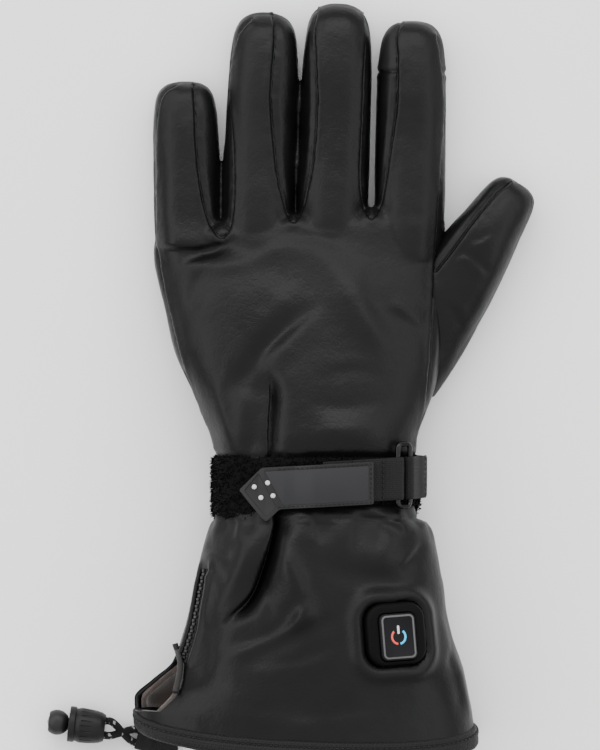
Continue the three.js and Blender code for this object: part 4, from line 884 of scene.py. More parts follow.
def weave_group():
    """Over-and-under threads on a UV map counted in threads."""
    group, start, end = shader_group(
        "woven threads",
        (("UV", "NodeSocketVector", None), ("Across", "NodeSocketFloat", 10.0), ("Along", "NodeSocketFloat", 10.0)),
        (("Height", "NodeSocketFloat"), ("Gap", "NodeSocketFloat")),
    )
    parts = add(group, "ShaderNodeSeparateXYZ")
    wire(group, start, "UV", parts, "Vector")
    across = maths(group, "MULTIPLY", (parts, "X"), (start, "Across"))
    along = maths(group, "MULTIPLY", (parts, "Y"), (start, "Along"))
    over = maths(group, "PINGPONG", across, 1.0)
    under = maths(group, "PINGPONG", along, 1.0)
    column = maths(group, "FLOOR", across)
    row = maths(group, "FLOOR", along)
    both = maths(group, "ADD", column, row)
    parity = maths(group, "MODULO", both, 2.0)
    parity = maths(group, "ABSOLUTE", parity)
    rise_a = maths(group, "SINE", maths(group, "MULTIPLY", across, math.pi))
    rise_b = maths(group, "SINE", maths(group, "MULTIPLY", along, math.pi))
    rise_a = maths(group, "ABSOLUTE", rise_a)
    rise_b = maths(group, "ABSOLUTE", rise_b)
    warp = maths(group, "MULTIPLY", rise_a, parity)
    weft = maths(group, "MULTIPLY", rise_b, maths(group, "SUBTRACT", 1.0, parity))
    height = maths(group, "MAXIMUM", warp, weft)
    wire(group, height[0], height[1], end, "Height")
    edge = maths(group, "MULTIPLY", over, under)
    gap = maths(group, "LESS_THAN", edge, 0.06)
    wire(group, gap[0], gap[1], end, "Gap")
    return group


def mottle_group():
    """Fine moulded or fibrous texture with slow patches of tone."""
    group, start, end = shader_group(
        "fine mottle",
        (("Vector", "NodeSocketVector", None), ("Scale", "NodeSocketFloat", 900.0)),
        (("Height", "NodeSocketFloat"), ("Tone", "NodeSocketFloat")),
    )
    fine = add(group, "ShaderNodeTexNoise", {"Detail": 4.0, "Roughness": 0.6})
    wire(group, start, "Vector", fine, "Vector")
    wire(group, start, "Scale", fine, "Scale")
    wire(group, fine, "Fac", end, "Height")
    slow = add(group, "ShaderNodeTexNoise", {"Scale": 60.0, "Detail": 3.0})
    wire(group, start, "Vector", slow, "Vector")
    wire(group, slow, "Fac", end, "Tone")
    return group


def base_material(name, roughness, metallic=0.0, **sockets):
    material = bpy.data.materials.new(name)
    material.use_nodes = True
    tree = material.node_tree
    shader = tree.nodes["Principled BSDF"]
    shader.inputs["Roughness"].default_value = roughness
    shader.inputs["Metallic"].default_value = metallic
    for key, value in sockets.items():
        shader.inputs[key.replace("_", " ")].default_value = value
    return material, tree, shader


def tint(tree, shader, mask, low, high):
    """Base colour from low to high by a mask."""
    ramp = add(tree, "ShaderNodeMixRGB")
    ramp.inputs["Color1"].default_value = (*low, 1)
    ramp.inputs["Color2"].default_value = (*high, 1)
    wire(tree, mask[0], mask[1], ramp, "Fac")
    wire(tree, ramp, "Color", shader, "Base Color")
    return ramp


def spread(tree, mask, low, high, from_low=0.3, from_high=0.7):
    made = add(tree, "ShaderNodeMapRange", {"From Min": from_low, "From Max": from_high, "To Min": low, "To Max": high})
    wire(tree, mask[0], mask[1], made, "Value")
    return made, "Result"


def bump(tree, shader, height, distance, strength=1.0, onto=None):
    made = add(tree, "ShaderNodeBump", {"Strength": strength, "Distance": distance})
    wire(tree, height[0], height[1], made, "Height")
    if onto is not None:
        wire(tree, onto, "Normal", made, "Normal")
    wire(tree, made, "Normal", shader, "Normal")
    return made


def object_coords(tree):
    return add(tree, "ShaderNodeTexCoord"), "Object"


def grouped(tree, group, **inputs):
    made = add(tree, "ShaderNodeGroup", node_tree=group)
    for key, value in inputs.items():
        socket = made.inputs[key.replace("_", " ")]
        if isinstance(value, tuple) and hasattr(value[0], "outputs"):
            wire(tree, value[0], value[1], made, key.replace("_", " "))
        else:
            socket.default_value = value
    return made


def leather_material(name, low, high, roughness, pore_scale, depth):
    material, tree, shader = base_material(name, roughness[0], Specular_IOR_Level=0.17)
    coords = object_coords(tree)
    grain = grouped(tree, GROUPS["grain"], Vector=coords, Pore_Scale=pore_scale)
    tint(tree, shader, spread(tree, (grain, "Unevenness"), 0.0, 1.0), low, high)
    rough = spread(tree, (grain, "Unevenness"), *roughness)
    wire(tree, rough[0], rough[1], shader, "Roughness")
    slow = add(tree, "ShaderNodeTexNoise", {"Scale": 90.0, "Detail": 3.0})
    wire(tree, coords[0], coords[1], slow, "Vector")
    broad = add(tree, "ShaderNodeBump", {"Strength": 0.6, "Distance": 0.0006})
    wire(tree, slow, "Fac", broad, "Height")
    bump(tree, shader, (grain, "Height"), depth, 1.0, broad)
    return material


def woven_material(name, low, high, roughness, across, along, depth):
    material, tree, shader = base_material(name, roughness, Specular_IOR_Level=0.22)
    uv = add(tree, "ShaderNodeUVMap", uv_map="pattern")
    threads = grouped(tree, GROUPS["weave"], UV=(uv, "UV"), Across=across, Along=along)
    tint(tree, shader, (threads, "Height"), low, high)
    bump(tree, shader, (threads, "Height"), depth)
    return material


def mottled_material(name, low, high, roughness, scale, depth, metallic=0.0, **sockets):
    material, tree, shader = base_material(name, roughness[0], metallic, **sockets)
    coords = object_coords(tree)
    mottle = grouped(tree, GROUPS["mottle"], Vector=coords, Scale=scale)
    tint(tree, shader, spread(tree, (mottle, "Tone"), 0.0, 1.0), low, high)
    rough = spread(tree, (mottle, "Tone"), *roughness)
    wire(tree, rough[0], rough[1], shader, "Roughness")
    bump(tree, shader, (mottle, "Height"), depth)
    return material


def braid_material(name, low, high, fleck):
    """Braided elastic: strands cross on a diagonal, with a reflective tracer on some."""
    material, tree, shader = base_material(name, 0.75, Specular_IOR_Level=0.25)
    uv = add(tree, "ShaderNodeUVMap", uv_map="pattern")
    turned = add(tree, "ShaderNodeMapping", {"Rotation": (0, 0, math.radians(45))})
    wire(tree, uv, "UV", turned, "Vector")
    threads = grouped(tree, GROUPS["weave"], UV=(turned, "Vector"), Across=1.6, Along=1.6)
    body = tint(tree, shader, (threads, "Height"), low, high)
    tracer = add(tree, "ShaderNodeTexNoise", {"Scale": 0.45, "Detail": 1.0})
    wire(tree, uv, "UV", tracer, "Vector")
    mask = maths(tree, "GREATER_THAN", (tracer, "Fac"), 0.6)
    mixed = add(tree, "ShaderNodeMixRGB")
    mixed.inputs["Color2"].default_value = (*fleck, 1)
    wire(tree, body, "Color", mixed, "Color1")
    wire(tree, mask[0], mask[1], mixed, "Fac")
    wire(tree, mixed, "Color", shader, "Base Color")
    bump(tree, shader, (threads, "Height"), 0.0003)
    return material


GROUPS = {}
FINISHES = {}


def grey(value, warm=0.0):
    return (value * (1 + warm), value, value * (1 - warm))


def build_finishes(looks):
    GROUPS.update(grain=leather_grain_group(), weave=weave_group(), mottle=mottle_group())
    leather = tuple(looks.leather)
    worn = tuple(min(1.0, 1.9 * v) for v in leather)
    rough = looks.leather_roughness
    FINISHES.update(
        leather=leather_material("black leather", leather, worn, (rough - 0.05, rough + 0.08), 950.0, 0.00006),
        touch=leather_material("touch leather", grey(0.007), grey(0.012), (0.46, 0.58), 1500.0, 0.00004),
        lining=mottled_material(
            "brushed lining", tuple(looks.lining), tuple(2.2 * v for v in looks.lining), (0.8, 0.95), 1400.0,
            0.0004, Sheen_Weight=0.5, Sheen_Roughness=0.5,
        ),
        binding=woven_material("binding tape", grey(0.0025), grey(0.006), 0.6, 1.0, 1.0, 0.00012),
        piping=woven_material("edge piping", grey(0.012), grey(0.025), 0.55, 1.0, 1.0, 0.0001),
        webbing=woven_material("webbing", grey(0.004), grey(0.009), 0.7, 1.0, 1.0, 0.00016),
        pile=mottled_material(
            "loop pile", grey(0.002), grey(0.0045), (0.85, 0.98), 2200.0, 0.0003, Specular_IOR_Level=0.1,
        ),
        zip_cloth=woven_material("zip tape", grey(0.004), grey(0.01), 0.8, 1.0, 1.0, 0.0001),
        zip_metal=mottled_material("zip metal", grey(0.015), grey(0.04), (0.28, 0.42), 700.0, 0.00003, 1.0),
        ring=mottled_material("dark nickel", grey(0.02), grey(0.035), (0.2, 0.3), 800.0, 0.00002, 1.0),
        bezel=mottled_material(
            "soft bezel", grey(0.0008), grey(0.0018), (0.5, 0.62), 500.0, 0.0002, Specular_IOR_Level=0.08,
        ),
        button=mottled_material(
            "button rubber", tuple(looks.button), tuple(1.5 * v for v in looks.button), (0.5, 0.6), 1600.0,
            0.00002, Specular_IOR_Level=0.15,
        ),
        rim=mottled_material("button rim", grey(0.05), grey(0.07), (0.3, 0.4), 1200.0, 0.00001),
        warm_mark=mottled_material(
            "warm mark", (0.62, 0.05, 0.035), (0.75, 0.09, 0.06), (0.4, 0.5), 900.0, 0.00001,
        ),
        cool_mark=mottled_material(
            "cool mark", (0.03, 0.42, 0.75), (0.05, 0.55, 0.9), (0.4, 0.5), 900.0, 0.00001,
        ),
        tab=mottled_material(
            "tab rubber", grey(0.004), grey(0.007), (0.42, 0.54), 1500.0, 0.00003, Specular_IOR_Level=0.3,
        ),
        film=mottled_material(
            "smooth film", tuple(looks.film), tuple(1.25 * v for v in looks.film), (0.5, 0.62), 300.0, 0.00002,
            Specular_IOR_Level=0.25,
        ),
        nub=mottled_material("light rubber", grey(0.5), grey(0.66), (0.45, 0.55), 900.0, 0.00002),
        thread=mottled_material(
            "sewing thread", grey(0.004), grey(0.01), (0.5, 0.65), 2600.0, 0.00005, Specular_IOR_Level=0.25,
        ),
        cord=braid_material("braided elastic", grey(0.003), grey(0.01), grey(0.35)),
        lock=mottled_material(
            "moulded lock", grey(0.0028), grey(0.0056), (0.42, 0.54), 900.0, 0.00005, Specular_IOR_Level=0.25,
        ),
        plunger=mottled_material(
            "moulded plunger", grey(0.007), grey(0.014), (0.42, 0.54), 900.0, 0.00005, Specular_IOR_Level=0.3,
        ),
    )


# The hand.


def open_wrist(obj, line):
    """Takes off the closed end behind a line and turns the edge inwards."""
    edit = bmesh.new()
    edit.from_mesh(obj.data)
    cut = (line - ORIGIN[1]) * MM
    bmesh.ops.bisect_plane(
        edit, geom=edit.verts[:] + edit.edges[:] + edit.faces[:],
        plane_co=(0, cut, 0), plane_no=(0, 1, 0), clear_inner=True,
    )
    rim = [e for e in edit.edges if e.is_boundary]
    middle = Vector((0, 0, 0))
    for e in rim:
        middle += (e.verts[0].co + e.verts[1].co) / 2
    middle /= max(1, len(rim))
    turned = bmesh.ops.extrude_edge_only(edit, edges=rim)["geom"]
    for v in turned:
        if isinstance(v, bmesh.types.BMVert):
            way = middle - v.co
            v.co += way.normalized() * LEATHER * MM
    edit.to_mesh(obj.data)
    edit.free()


def split_off(obj, name, chosen):
    """Moves the faces whose corners are all chosen to a new object."""
    twin = obj.copy()
    twin.data = obj.data.copy()
    twin.name = name
    bpy.context.collection.objects.link(twin)
    for made, keep in ((obj, False), (twin, True)):
        edit = bmesh.new()
        edit.from_mesh(made.data)
        edit.verts.ensure_lookup_table()
        gone = [f for f in edit.faces if all(chosen[v.index] for v in f.verts) != keep]
        bmesh.ops.delete(edit, geom=gone, context="FACES")
        edit.to_mesh(made.data)
        edit.free()
    return twin


def index_tip_lines(points):
    """How far along and across the index finger each point lies, in millimetres."""
    digit = DIGITS[-1]
    from_root = points - digit["lines"]["root"]
    return from_root @ digit["lines"]["ahead"], from_root @ digit["lines"]["side"]


def seam_distance(points, normals, height):
    steep = np.sqrt(np.clip(1 - normals[:, 2] ** 2, 0.12, 1))
    return (points[:, 2] - height) / steep


def build_hand():
    ends = np.linspace(CROTCH_Y - 3, WRIST_Y + 1.045 * PALM_LENGTH, 12)
    lines = list(np.linspace(WRIST_Y - 3, CROTCH_Y - 5, 76)) + list(ends)
    forms = [loft_object("palm_form", [body_ring(y, 0, even_turns(body_section(y), 150)) for y in lines])]
    stations = list(np.linspace(-0.22, 0.84, 34)) + list(np.linspace(0.86, 1.0, 14))
    for digit in DIGITS:
        rings = digit_rings(FINGER_SECTIONS, digit["size"], digit["lines"], stations, 64)
        forms.append(loft_object(digit["name"] + "_form", rings))
    hand = skin_over("hand_leather", forms, HAND_GRAIN, 6)
    points, normals = mesh_points(hand), mesh_normals(hand)
    above = seam_distance_above(points, normals, HAND_SEAMS)
    subdivide_where(hand, (np.abs(above) < 1.5) & (points[:, 1] > WRIST_Y + 14))
    points, normals = mesh_points(hand), mesh_normals(hand)
    above = seam_distance_above(points, normals, HAND_SEAMS)
    lower = seam_distance(points, normals, hand_seam_height(points, PALM_LOWER_SEAM, FINGER_LOWER_SEAM, 0.3))
    facing_up = smooth_step(normals[:, 2], 0.05, 0.45)
    past_band = smooth_step(points[:, 1], WRIST_Y + 13, WRIST_Y + 18)
    height = facing_up * crease_height(points, HAND_CREASES)
    height += past_band * seam_relief(above, *BACK_SEAM)
    height += past_band * seam_groove(lower, *LOWER_SEAM) * (normals[:, 2] < 0.5)
    pucker = layered_noise(points, (3.2, 5, 0.2), (1.9, 6, 0.08))
    height += pucker * np.exp(-((above / PUCKER_REACH) ** 2)) * past_band
    height += layered_noise(points, (21.0, 1, 0.5)) * facing_up
    height += layered_noise(points, (8.5, 2, 0.15), (3.6, 3, 0.04))
    ahead, across = index_tip_lines(points)
    index_length, index_width, _ = DIGITS[-1]["size"]
    in_tip = (np.abs(across) < index_width / 2 + 1.5) & (ahead > 0.4 * index_length)
    below = ~inside_outline(points, INDEX_PANEL) | (normals[:, 2] < UPPER_SIDE)
    cap_line = TOUCH_TIP_SHARE * index_length
    height += np.where(in_tip & below, seam_groove(ahead - cap_line, *TIP_SEAM), 0)
    points = points + normals * height[:, None]
    points[:, 2] = np.maximum(points[:, 2], GROUND)
    set_points(hand, points)
    fold_over(hand, HAND_FOLD, HAND_FOLD_LEAN)
    open_wrist(hand, WRIST_Y - 1.2)
    points, normals = mesh_points(hand), mesh_normals(hand)
    ahead, across = index_tip_lines(points)
    below = ~inside_outline(points, INDEX_PANEL) | (normals[:, 2] < UPPER_SIDE)
    chosen = (np.abs(across) < index_width / 2 + 1.5) & (ahead > cap_line) & below
    tip = split_off(hand, "touch_fingertip", chosen)
    walls = ("fourchette_little_ring", "fourchette_ring_middle", "fourchette_middle_index")
    panels = ("back_panel", "palm_panel", "side_strip_little", "side_strip_index")
    finish_piece(hand, "glove", "leather", FINISHES["leather"], *panels, *walls)
    finish_piece(tip, "glove", "touch_leather", FINISHES["touch"], "index_touch_tip")


def build_thumb():
    stations = list(np.linspace(-0.12, 0.84, 40)) + list(np.linspace(0.86, 1.0, 14))
    rings = digit_rings(THUMB_SECTIONS, THUMB["size"], THUMB["lines"], stations, 72)
    thumb = skin_over("thumb_leather", [loft_object("thumb_form", rings)], THUMB_GRAIN, 6)
    points, normals = mesh_points(thumb), mesh_normals(thumb)
    subdivide_where(thumb, np.abs(seam_distance_above(points, normals, [THUMB_SEAM])) < 2.4)
    points, normals = mesh_points(thumb), mesh_normals(thumb)
    above = seam_distance_above(points, normals, [THUMB_SEAM])
    from_root = points - THUMB["lines"]["root"]
    outer = from_root @ THUMB["lines"]["side"] > 0
    side_seam = np.where(outer, seam_distance(points, normals, 0.45 * THUMB["size"][2]), NOT_A_SEAM)
    facing_up = smooth_step(normals[:, 2], 0.0, 0.4)
    height = facing_up * crease_height(points, THUMB_CREASES)
    height += seam_relief(-above, *THUMB_BACK_SEAM) + seam_groove(side_seam, *THUMB_SIDE_SEAM)
    height += (value_noise(points, 3.0, 15) * 0.2) * np.exp(-((above / PUCKER_REACH) ** 2))
    height += layered_noise(points, (17.0, 11, 0.5)) * facing_up
    height += layered_noise(points, (7.0, 12, 0.16), (3.4, 13, 0.05))
    points = points + normals * height[:, None]
    points[:, 2] = np.maximum(points[:, 2], GROUND)
    set_points(thumb, points)
    finish_piece(thumb, "glove", "leather", FINISHES["leather"], "thumb_back", "thumb_palm")


# The cuff.

GUSSET_HEIGHT = 0.36 * HEM_DEPTH
GUSSET_EDGE = ((0.1, -0.525), (0.172, -0.466), (0.268, -0.45), (0.345, -0.47))
ZIP_TURN = 2.82
ZIP_LINES = (43.0, 84.0)
ZIP_HALF = 3.6
ZIP_TEETH = 27
BINDING = 8.5
HEM_TUCK = 1.2  # the cuff leather runs this far in under the binding
SLIT_START = 9  # from the hem to the first of the slit's points
BAG_INSET, BAG_SIDES = 5.0, 90


def gusset_cutter(grow):
    """The slit in the upper leather, drawn from above and raised to a prism."""
    steps = smooth_path([(a * CUFF_LENGTH + SLIT_START, b * PALM_WIDTH + grow) for a, b in GUSSET_EDGE], 24)
    outline = [(-PALM_WIDTH, steps[0][0])] + [(x, y) for y, x in steps] + [(-PALM_WIDTH, steps[-1][0])]
    low = [(x, y, GUSSET_HEIGHT) for x, y in outline]
    high = [(x, y, 2 * HEM_DEPTH) for x, y in outline]
    count = len(outline)
    faces = [tuple(range(count - 1, -1, -1)), tuple(range(count, 2 * count))]
    faces += [(i, (i + 1) % count, count + (i + 1) % count, count + i) for i in range(count)]
    return make_mesh("slit_cutter", np.array(low + high, dtype=float), faces)


def tube_grid(name, lines, turns, inset):
    """An open sleeve over the body at one inset, its faces outwards."""
    points = np.concatenate([body_ring(y, inset, turns) for y in lines])
    obj = make_mesh(name, points, ring_faces(len(lines), len(turns)), False)
    if np.mean(np.einsum("ij,ij->i", mesh_normals(obj), outward(mesh_points(obj)))) < 0:
        obj.data.flip_normals()
    return obj


def sleeve(name, lines, turns, inset, thickness):
    obj = tube_grid(name, lines, turns, inset)
    apply_modifier(obj, "SOLIDIFY", thickness=thickness * MM, offset=-1)
    return obj


def raise_skin(obj, relief):
    """Moves both walls of a sleeve by a relief worked out on the skin."""
    points = mesh_points(obj)
    ways = outward(points)
    points = points + ways * relief(points, ways)[:, None]
    points[:, 2] = np.maximum(points[:, 2], GROUND)
    set_points(obj, points)
    return obj


def zip_line(inset, count):
    """The zip's middle line at an inset, with its sides, ways and ups."""
    lines = np.linspace(ZIP_LINES[0], ZIP_LINES[1], count)
    middle = np.array([body_ring(y, inset, [ZIP_TURN])[0] for y in lines])
    near = np.array([body_ring(y, inset, [ZIP_TURN - 0.02])[0] for y in lines])
    sides = near - middle
    sides[:, 1] = 0
    sides /= np.linalg.norm(sides, axis=1)[:, None]
    ways = np.gradient(middle, axis=0)
    ways /= np.linalg.norm(ways, axis=1)[:, None]
    ups = np.cross(sides, ways)
    return middle, sides, ways, -ups if ups[0][0] > 0 else ups


def zip_cutter():
    middle, sides, _, ups = zip_line(0, 40)
    box = np.array([(-ZIP_HALF, -4), (ZIP_HALF, -4), (ZIP_HALF, 4), (-ZIP_HALF, 4)])
    return swept("zip_cutter", middle, sides, ups, box)


def pod_cutter():
    cutter = new_block("pod_cutter", POD_WIDTH + 2 * GAP, POD_LENGTH + 2 * GAP, 7.6, -POD_SUNK - 4, 12)
    return stand_on(shifted(cutter, POD_SHIFT), *surface_frame(POD_X, POD_Y, 12))


def pod_distance(points):
    """How far outside the control's rounded outline each point lies."""
    origin, side, along, _ = surface_frame(POD_X, POD_Y, 12)
    away = points - origin - POD_SHIFT * along
    across = np.abs(away @ side) - POD_WIDTH / 2 + 7
    length = np.abs(away @ along) - POD_LENGTH / 2 + 7
    return np.hypot(np.maximum(across, 0), np.maximum(length, 0)) + np.minimum(np.maximum(across, length), 0) - 7


def cuff_relief(points, normals):
    facing_up = smooth_step(normals[:, 2], 0.0, 0.4)
    height = facing_up * crease_height(points, CUFF_CREASES)
    height += layered_noise(points, (26.0, 21, 0.7)) * facing_up
    height += layered_noise(points, (10.0, 22, 0.25), (4.0, 23, 0.06))
    gathers = value_noise(points * np.array([1.0, 0.3, 1.0]), 5.5, 24) * 0.7
    height += gathers * np.exp(-(((points[:, 1] - 103) / 9) ** 2))
    middle = zip_line(0, 30)[0]
    line_x, line_z = (np.interp(points[:, 1], middle[:, 1], middle[:, k]) for k in (0, 2))
    away = np.hypot(points[:, 0] - line_x, points[:, 2] - line_z)
    past_start = smooth_step(points[:, 1], ZIP_LINES[0] - 4, ZIP_LINES[0])
    beside = past_start * smooth_step(-points[:, 1], -ZIP_LINES[1] - 4, -ZIP_LINES[1])
    height += beside * (0.9 * np.exp(-(((away - ZIP_HALF - 1.6) / 1.7) ** 2)) - 0.5 * np.exp(-((away / ZIP_HALF) ** 4)))
    before, here, after = (np.interp(points[:, 1] + step, BODY_LINES, BODY_MEASURES[:, 2]) for step in (-7, 0, 7))
    height += 0.8 * facing_up * np.clip((before + after) / 2 - here, 0, 3) * smooth_step(points[:, 1], 88, 94)
    height += 1.2 * facing_up * smooth_step(points[:, 0], -24, -15) * np.exp(-(((points[:, 1] - 105.5) / 5) ** 2))
    gap = pod_distance(points)
    near_pod = facing_up * smooth_step(-gap, -16, -4)
    height = height * (1 - 0.8 * near_pod) + facing_up * 2.5 * np.exp(-(((gap - 3.4) / 3.4) ** 2)) * (points[:, 0] < 60)
    return np.maximum(height, -8.0)


def build_cuff():
    turns = even_turns(body_section(55.0), 348)
    lines = np.linspace(HEM_Y + BINDING - HEM_TUCK, WRIST_Y - GAP / 2, 114)
    cuff = sleeve("cuff_leather", lines, turns, 0, LEATHER)
    subtract(cuff, gusset_cutter(0))
    subtract(cuff, zip_cutter())
    subtract(cuff, pod_cutter())
    raise_skin(cuff, cuff_relief)
    fold_over(cuff, CUFF_FOLD, CUFF_FOLD_LEAN)
    finish_piece(cuff, "glove", "leather", FINISHES["leather"], "cuff")

    inner_turns = even_turns(body_section(55.0), 150)
    inner_lines = np.linspace(HEM_Y + BINDING + GAP, WRIST_Y - GAP / 2, 48)

    def soft(points, normals):
        sunk = crease_height(points, CUFF_CREASES) * smooth_step(normals[:, 2], 0.0, 0.4)
        return np.minimum(sunk, 0) + value_noise(points, 9.0, 31) * 0.5 - 0.5

    lining = sleeve("cuff_lining_cloth", inner_lines, inner_turns, LEATHER + GAP, LINING - 0.3)
    subtract(lining, gusset_cutter(-2))
    raise_skin(lining, soft)
    finish_piece(lining, "glove", "lining", FINISHES["lining"], "cuff_lining")

    bag_lines = list(np.linspace(WRIST_Y - 2, WRIST_Y + 0.72 * PALM_LENGTH, 26))
    rings = [body_ring(y, BAG_INSET, even_turns(body_section(y), BAG_SIDES)) for y in bag_lines]
    inwards = rings[-1].mean(axis=0) - rings[-1]
    close = [rings[-1] + inwards * s + np.array([0, 9 * math.sqrt(s), 0]) for s in (0.2, 0.5, 0.8)]
    points = np.concatenate(rings + close + [close[-1].mean(axis=0)[None] + np.array([[0, 1.0, 0]])])
    faces = ring_faces(len(rings) + 3, BAG_SIDES)
    last = (len(rings) + 2) * BAG_SIDES
    faces += [(last + i, last + (i + 1) % BAG_SIDES, len(points) - 1) for i in range(BAG_SIDES)]
    bag = make_mesh("hand_lining_cloth", points, faces)
    middle = mesh_points(bag).mean(axis=0)
    if np.mean(np.einsum("ij,ij->i", mesh_normals(bag)[:, [0, 2]], mesh_points(bag)[:, [0, 2]] - middle[[0, 2]])) < 0:
        bag.data.flip_normals()
    apply_modifier(bag, "SOLIDIFY", thickness=0.8 * MM, offset=-1)
    finish_piece(bag, "glove", "lining", FINISHES["lining"])


LOOP_AT, LOOP_RADIUS = (68.0, 10.2, 3.2), 3.4
BINDING_OUTLINE = (
    (8.5, 0.9), (8.45, -0.5), (7.9, -1.0), (6.4, -1.05), (5.9, -0.85), (5.2, -1.2), (3.0, -1.35), (1.4, -1.2),
    (0.4, -0.4), (0.0, 1.6), (0.3, 3.6), (1.4, 4.8), (3.0, 5.1), (7.6, 5.1), (8.4, 4.6), (8.5, 3.0),
)


def build_hem():
    turns = even_turns(body_section(HEM_Y + 4), 400)
    loops = [body_ring(HEM_Y + dy, inset, turns) for dy, inset in BINDING_OUTLINE]
    points = np.stack(loops, axis=1).reshape(-1, 3)
    hem = make_mesh("hem_trim", points, ring_faces(len(turns), len(BINDING_OUTLINE), True))
    lumps = mesh_points(hem)
    lumps += mesh_normals(hem) * (value_noise(lumps, 7.0, 41) * 0.18 + value_noise(lumps, 2.4, 42) * 0.07)[:, None]
    lumps[:, 2] = np.maximum(lumps[:, 2], GROUND)
    set_points(hem, lumps)
    run = run_along(loops[6])
    around = np.repeat(run / 0.9, len(BINDING_OUTLINE))
    across = np.tile(np.arange(len(BINDING_OUTLINE)) * 1.6, len(turns))
    if len(hem.data.vertices) == len(around):
        uv_from(hem, np.stack([around, across], axis=1))
    finish_piece(hem, "glove", "binding", FINISHES["binding"], "hem_binding")
    line = body_ring(HEM_Y + 5.9, -1.05, even_turns(body_section(HEM_Y + 5.9), 150))
    ahead = np.roll(line, -1, axis=0) - np.roll(line, 1, axis=0)
    middle = line.mean(axis=0)
    spots = []
    for p, way in zip(line, ahead):
        out = p - middle
        out[1] = 0
        if p[2] > 0.6:
            spots.append((p, way, out / np.linalg.norm(out)))
    thread = stitches("hem_stitches", spots, 1.9, 0.62)
    finish_piece(thread, "glove", "binding", FINISHES["thread"])

    edge = smooth_path([(b * PALM_WIDTH - 0.9, a * CUFF_LENGTH + SLIT_START) for a, b in GUSSET_EDGE[1:]], 40)
    path = np.array([top_point(x, y, -0.1) for x, y in edge])
    centres = np.stack([edge[:, 0], edge[:, 1], path[:, 2]], axis=1)
    _, sides, ups = path_frames(centres)
    outline = oval(2.6, 2.4, 14)
    trim = swept("edge_trim", centres, sides, ups, outline)
    run = run_along(centres)
    values = [(r / 0.8, k * 0.9) for r in run for k in range(14)] + [(0, 0), (run[-1] / 0.8, 0)]
    if len(trim.data.vertices) == len(values):
        uv_from(trim, values)
    finish_piece(trim, "glove", "piping", FINISHES["piping"], "edge_piping")

    turns = np.linspace(0, 2 * math.pi, 48, endpoint=False)
    out = np.stack([np.cos(turns), np.sin(turns), np.zeros(48)], axis=1)
    centres = np.array(LOOP_AT) + out * LOOP_RADIUS
    loop = swept("hem_pull_loop", centres, out, np.tile([0.0, 0.0, 1.0], (48, 1)), oval(2.0, 4.4, 12), True)
    uv_from(loop, [(i * 0.9, k * 0.8) for i in range(48) for k in range(12)])
    finish_piece(loop, "glove", "webbing", FINISHES["webbing"], "hem_loop")


def build_zip():
    middle, sides, ways, ups = zip_line(LEATHER - 1.0, 60)
    lines = middle[:, 1]
    tape = swept("zip_cloth", middle, sides, ups, strap_outline(6.0, 1.0, -0.7))
    run = run_along(middle)
    values = [(k * 1.3, r / 0.7) for r in run for k in range(8)] + [(0, 0), (0, run[-1] / 0.7)]
    if len(tape.data.vertices) == len(values):
        uv_from(tape, values)
    finish_piece(tape, "glove", "webbing", FINISHES["zip_cloth"], "zip_tape")
    tooth = new_block("zip_tooth", 2.3, 1.1, 0.25, 0.1, 1.15, 0.3)
    chain = [copied(tooth) for _ in range(ZIP_TEETH - 1)] + [tooth]
    for k, each in enumerate(chain):
        share = (k + 0.5) / ZIP_TEETH * (len(lines) - 1)
        i = int(share)
        at = middle[i] + (middle[min(i + 1, len(lines) - 1)] - middle[i]) * (share - i)
        side, up, way = sides[i], ups[i], ways[i]
        at = at + side * (0.5 if k % 2 else -0.5)
        if np.dot(np.cross(side, way), up) < 0:
            side = -side
        stand_on(each, at, side, way, up)
    teeth = join("zip_chain", chain)
    finish_piece(teeth, "glove", "zip_metal", FINISHES["zip_metal"], "zip_teeth")


# Modelling by hand: a primitive, shaped in edit mode.


def pick(obj, kind, test):
    """Enters edit mode with what passes the test on all its corners selected, in the object's own millimetres."""
    select_only(obj)
    bpy.ops.object.mode_set(mode="EDIT")
    bpy.context.tool_settings.mesh_select_mode = (kind == "VERT", kind == "EDGE", kind == "FACE")
    bpy.ops.mesh.select_all(action="DESELECT")
    edit = bmesh.from_edit_mesh(obj.data)
    items = {"VERT": edit.verts, "EDGE": edit.edges, "FACE": edit.faces}[kind]
    for item in items:
        corners = [item] if kind == "VERT" else list(item.verts)
        if test(*[v.co / MM for v in corners]):
            item.select_set(True)
    bmesh.update_edit_mesh(obj.data)


def leave_edit():
    bpy.ops.object.mode_set(mode="OBJECT")


def bevel_picked(obj, test, offset, segments):
    pick(obj, "EDGE", test)
    bpy.ops.mesh.bevel(offset=offset * MM, offset_type="OFFSET", segments=segments, affect="EDGES")
    leave_edit()


def new_block(name, width, length, corner, low, high, edge=0.0):
    """A rounded block standing on its own axes, its upper edge rounded."""
    bpy.ops.object.select_all(action="DESELECT")
    middle = (0, 0, (low + high) / 2 * MM)
    bpy.ops.mesh.primitive_cube_add(size=1, location=middle, scale=(width * MM, length * MM, (high - low) * MM))
    obj = bpy.context.object
    obj.name = name
    bpy.ops.object.transform_apply(location=True, rotation=True, scale=True)
    bevel_picked(obj, lambda a, b: abs(a.z - b.z) > 0.01, corner, 8)
    if edge:
        bevel_picked(obj, lambda a, b: min(a.z, b.z) > high - 0.01, edge, 4)
    return obj


def shifted(obj, up):
    """The same shape, moved along its own y axis by millimetres."""
    pick(obj, "FACE", lambda *c: True)
    bpy.ops.transform.translate(value=(0, up * MM, 0))
    leave_edit()
    return obj


def copied(obj):
    twin = obj.copy()
    twin.data = obj.data.copy()
    bpy.context.scene.collection.objects.link(twin)
    return twin


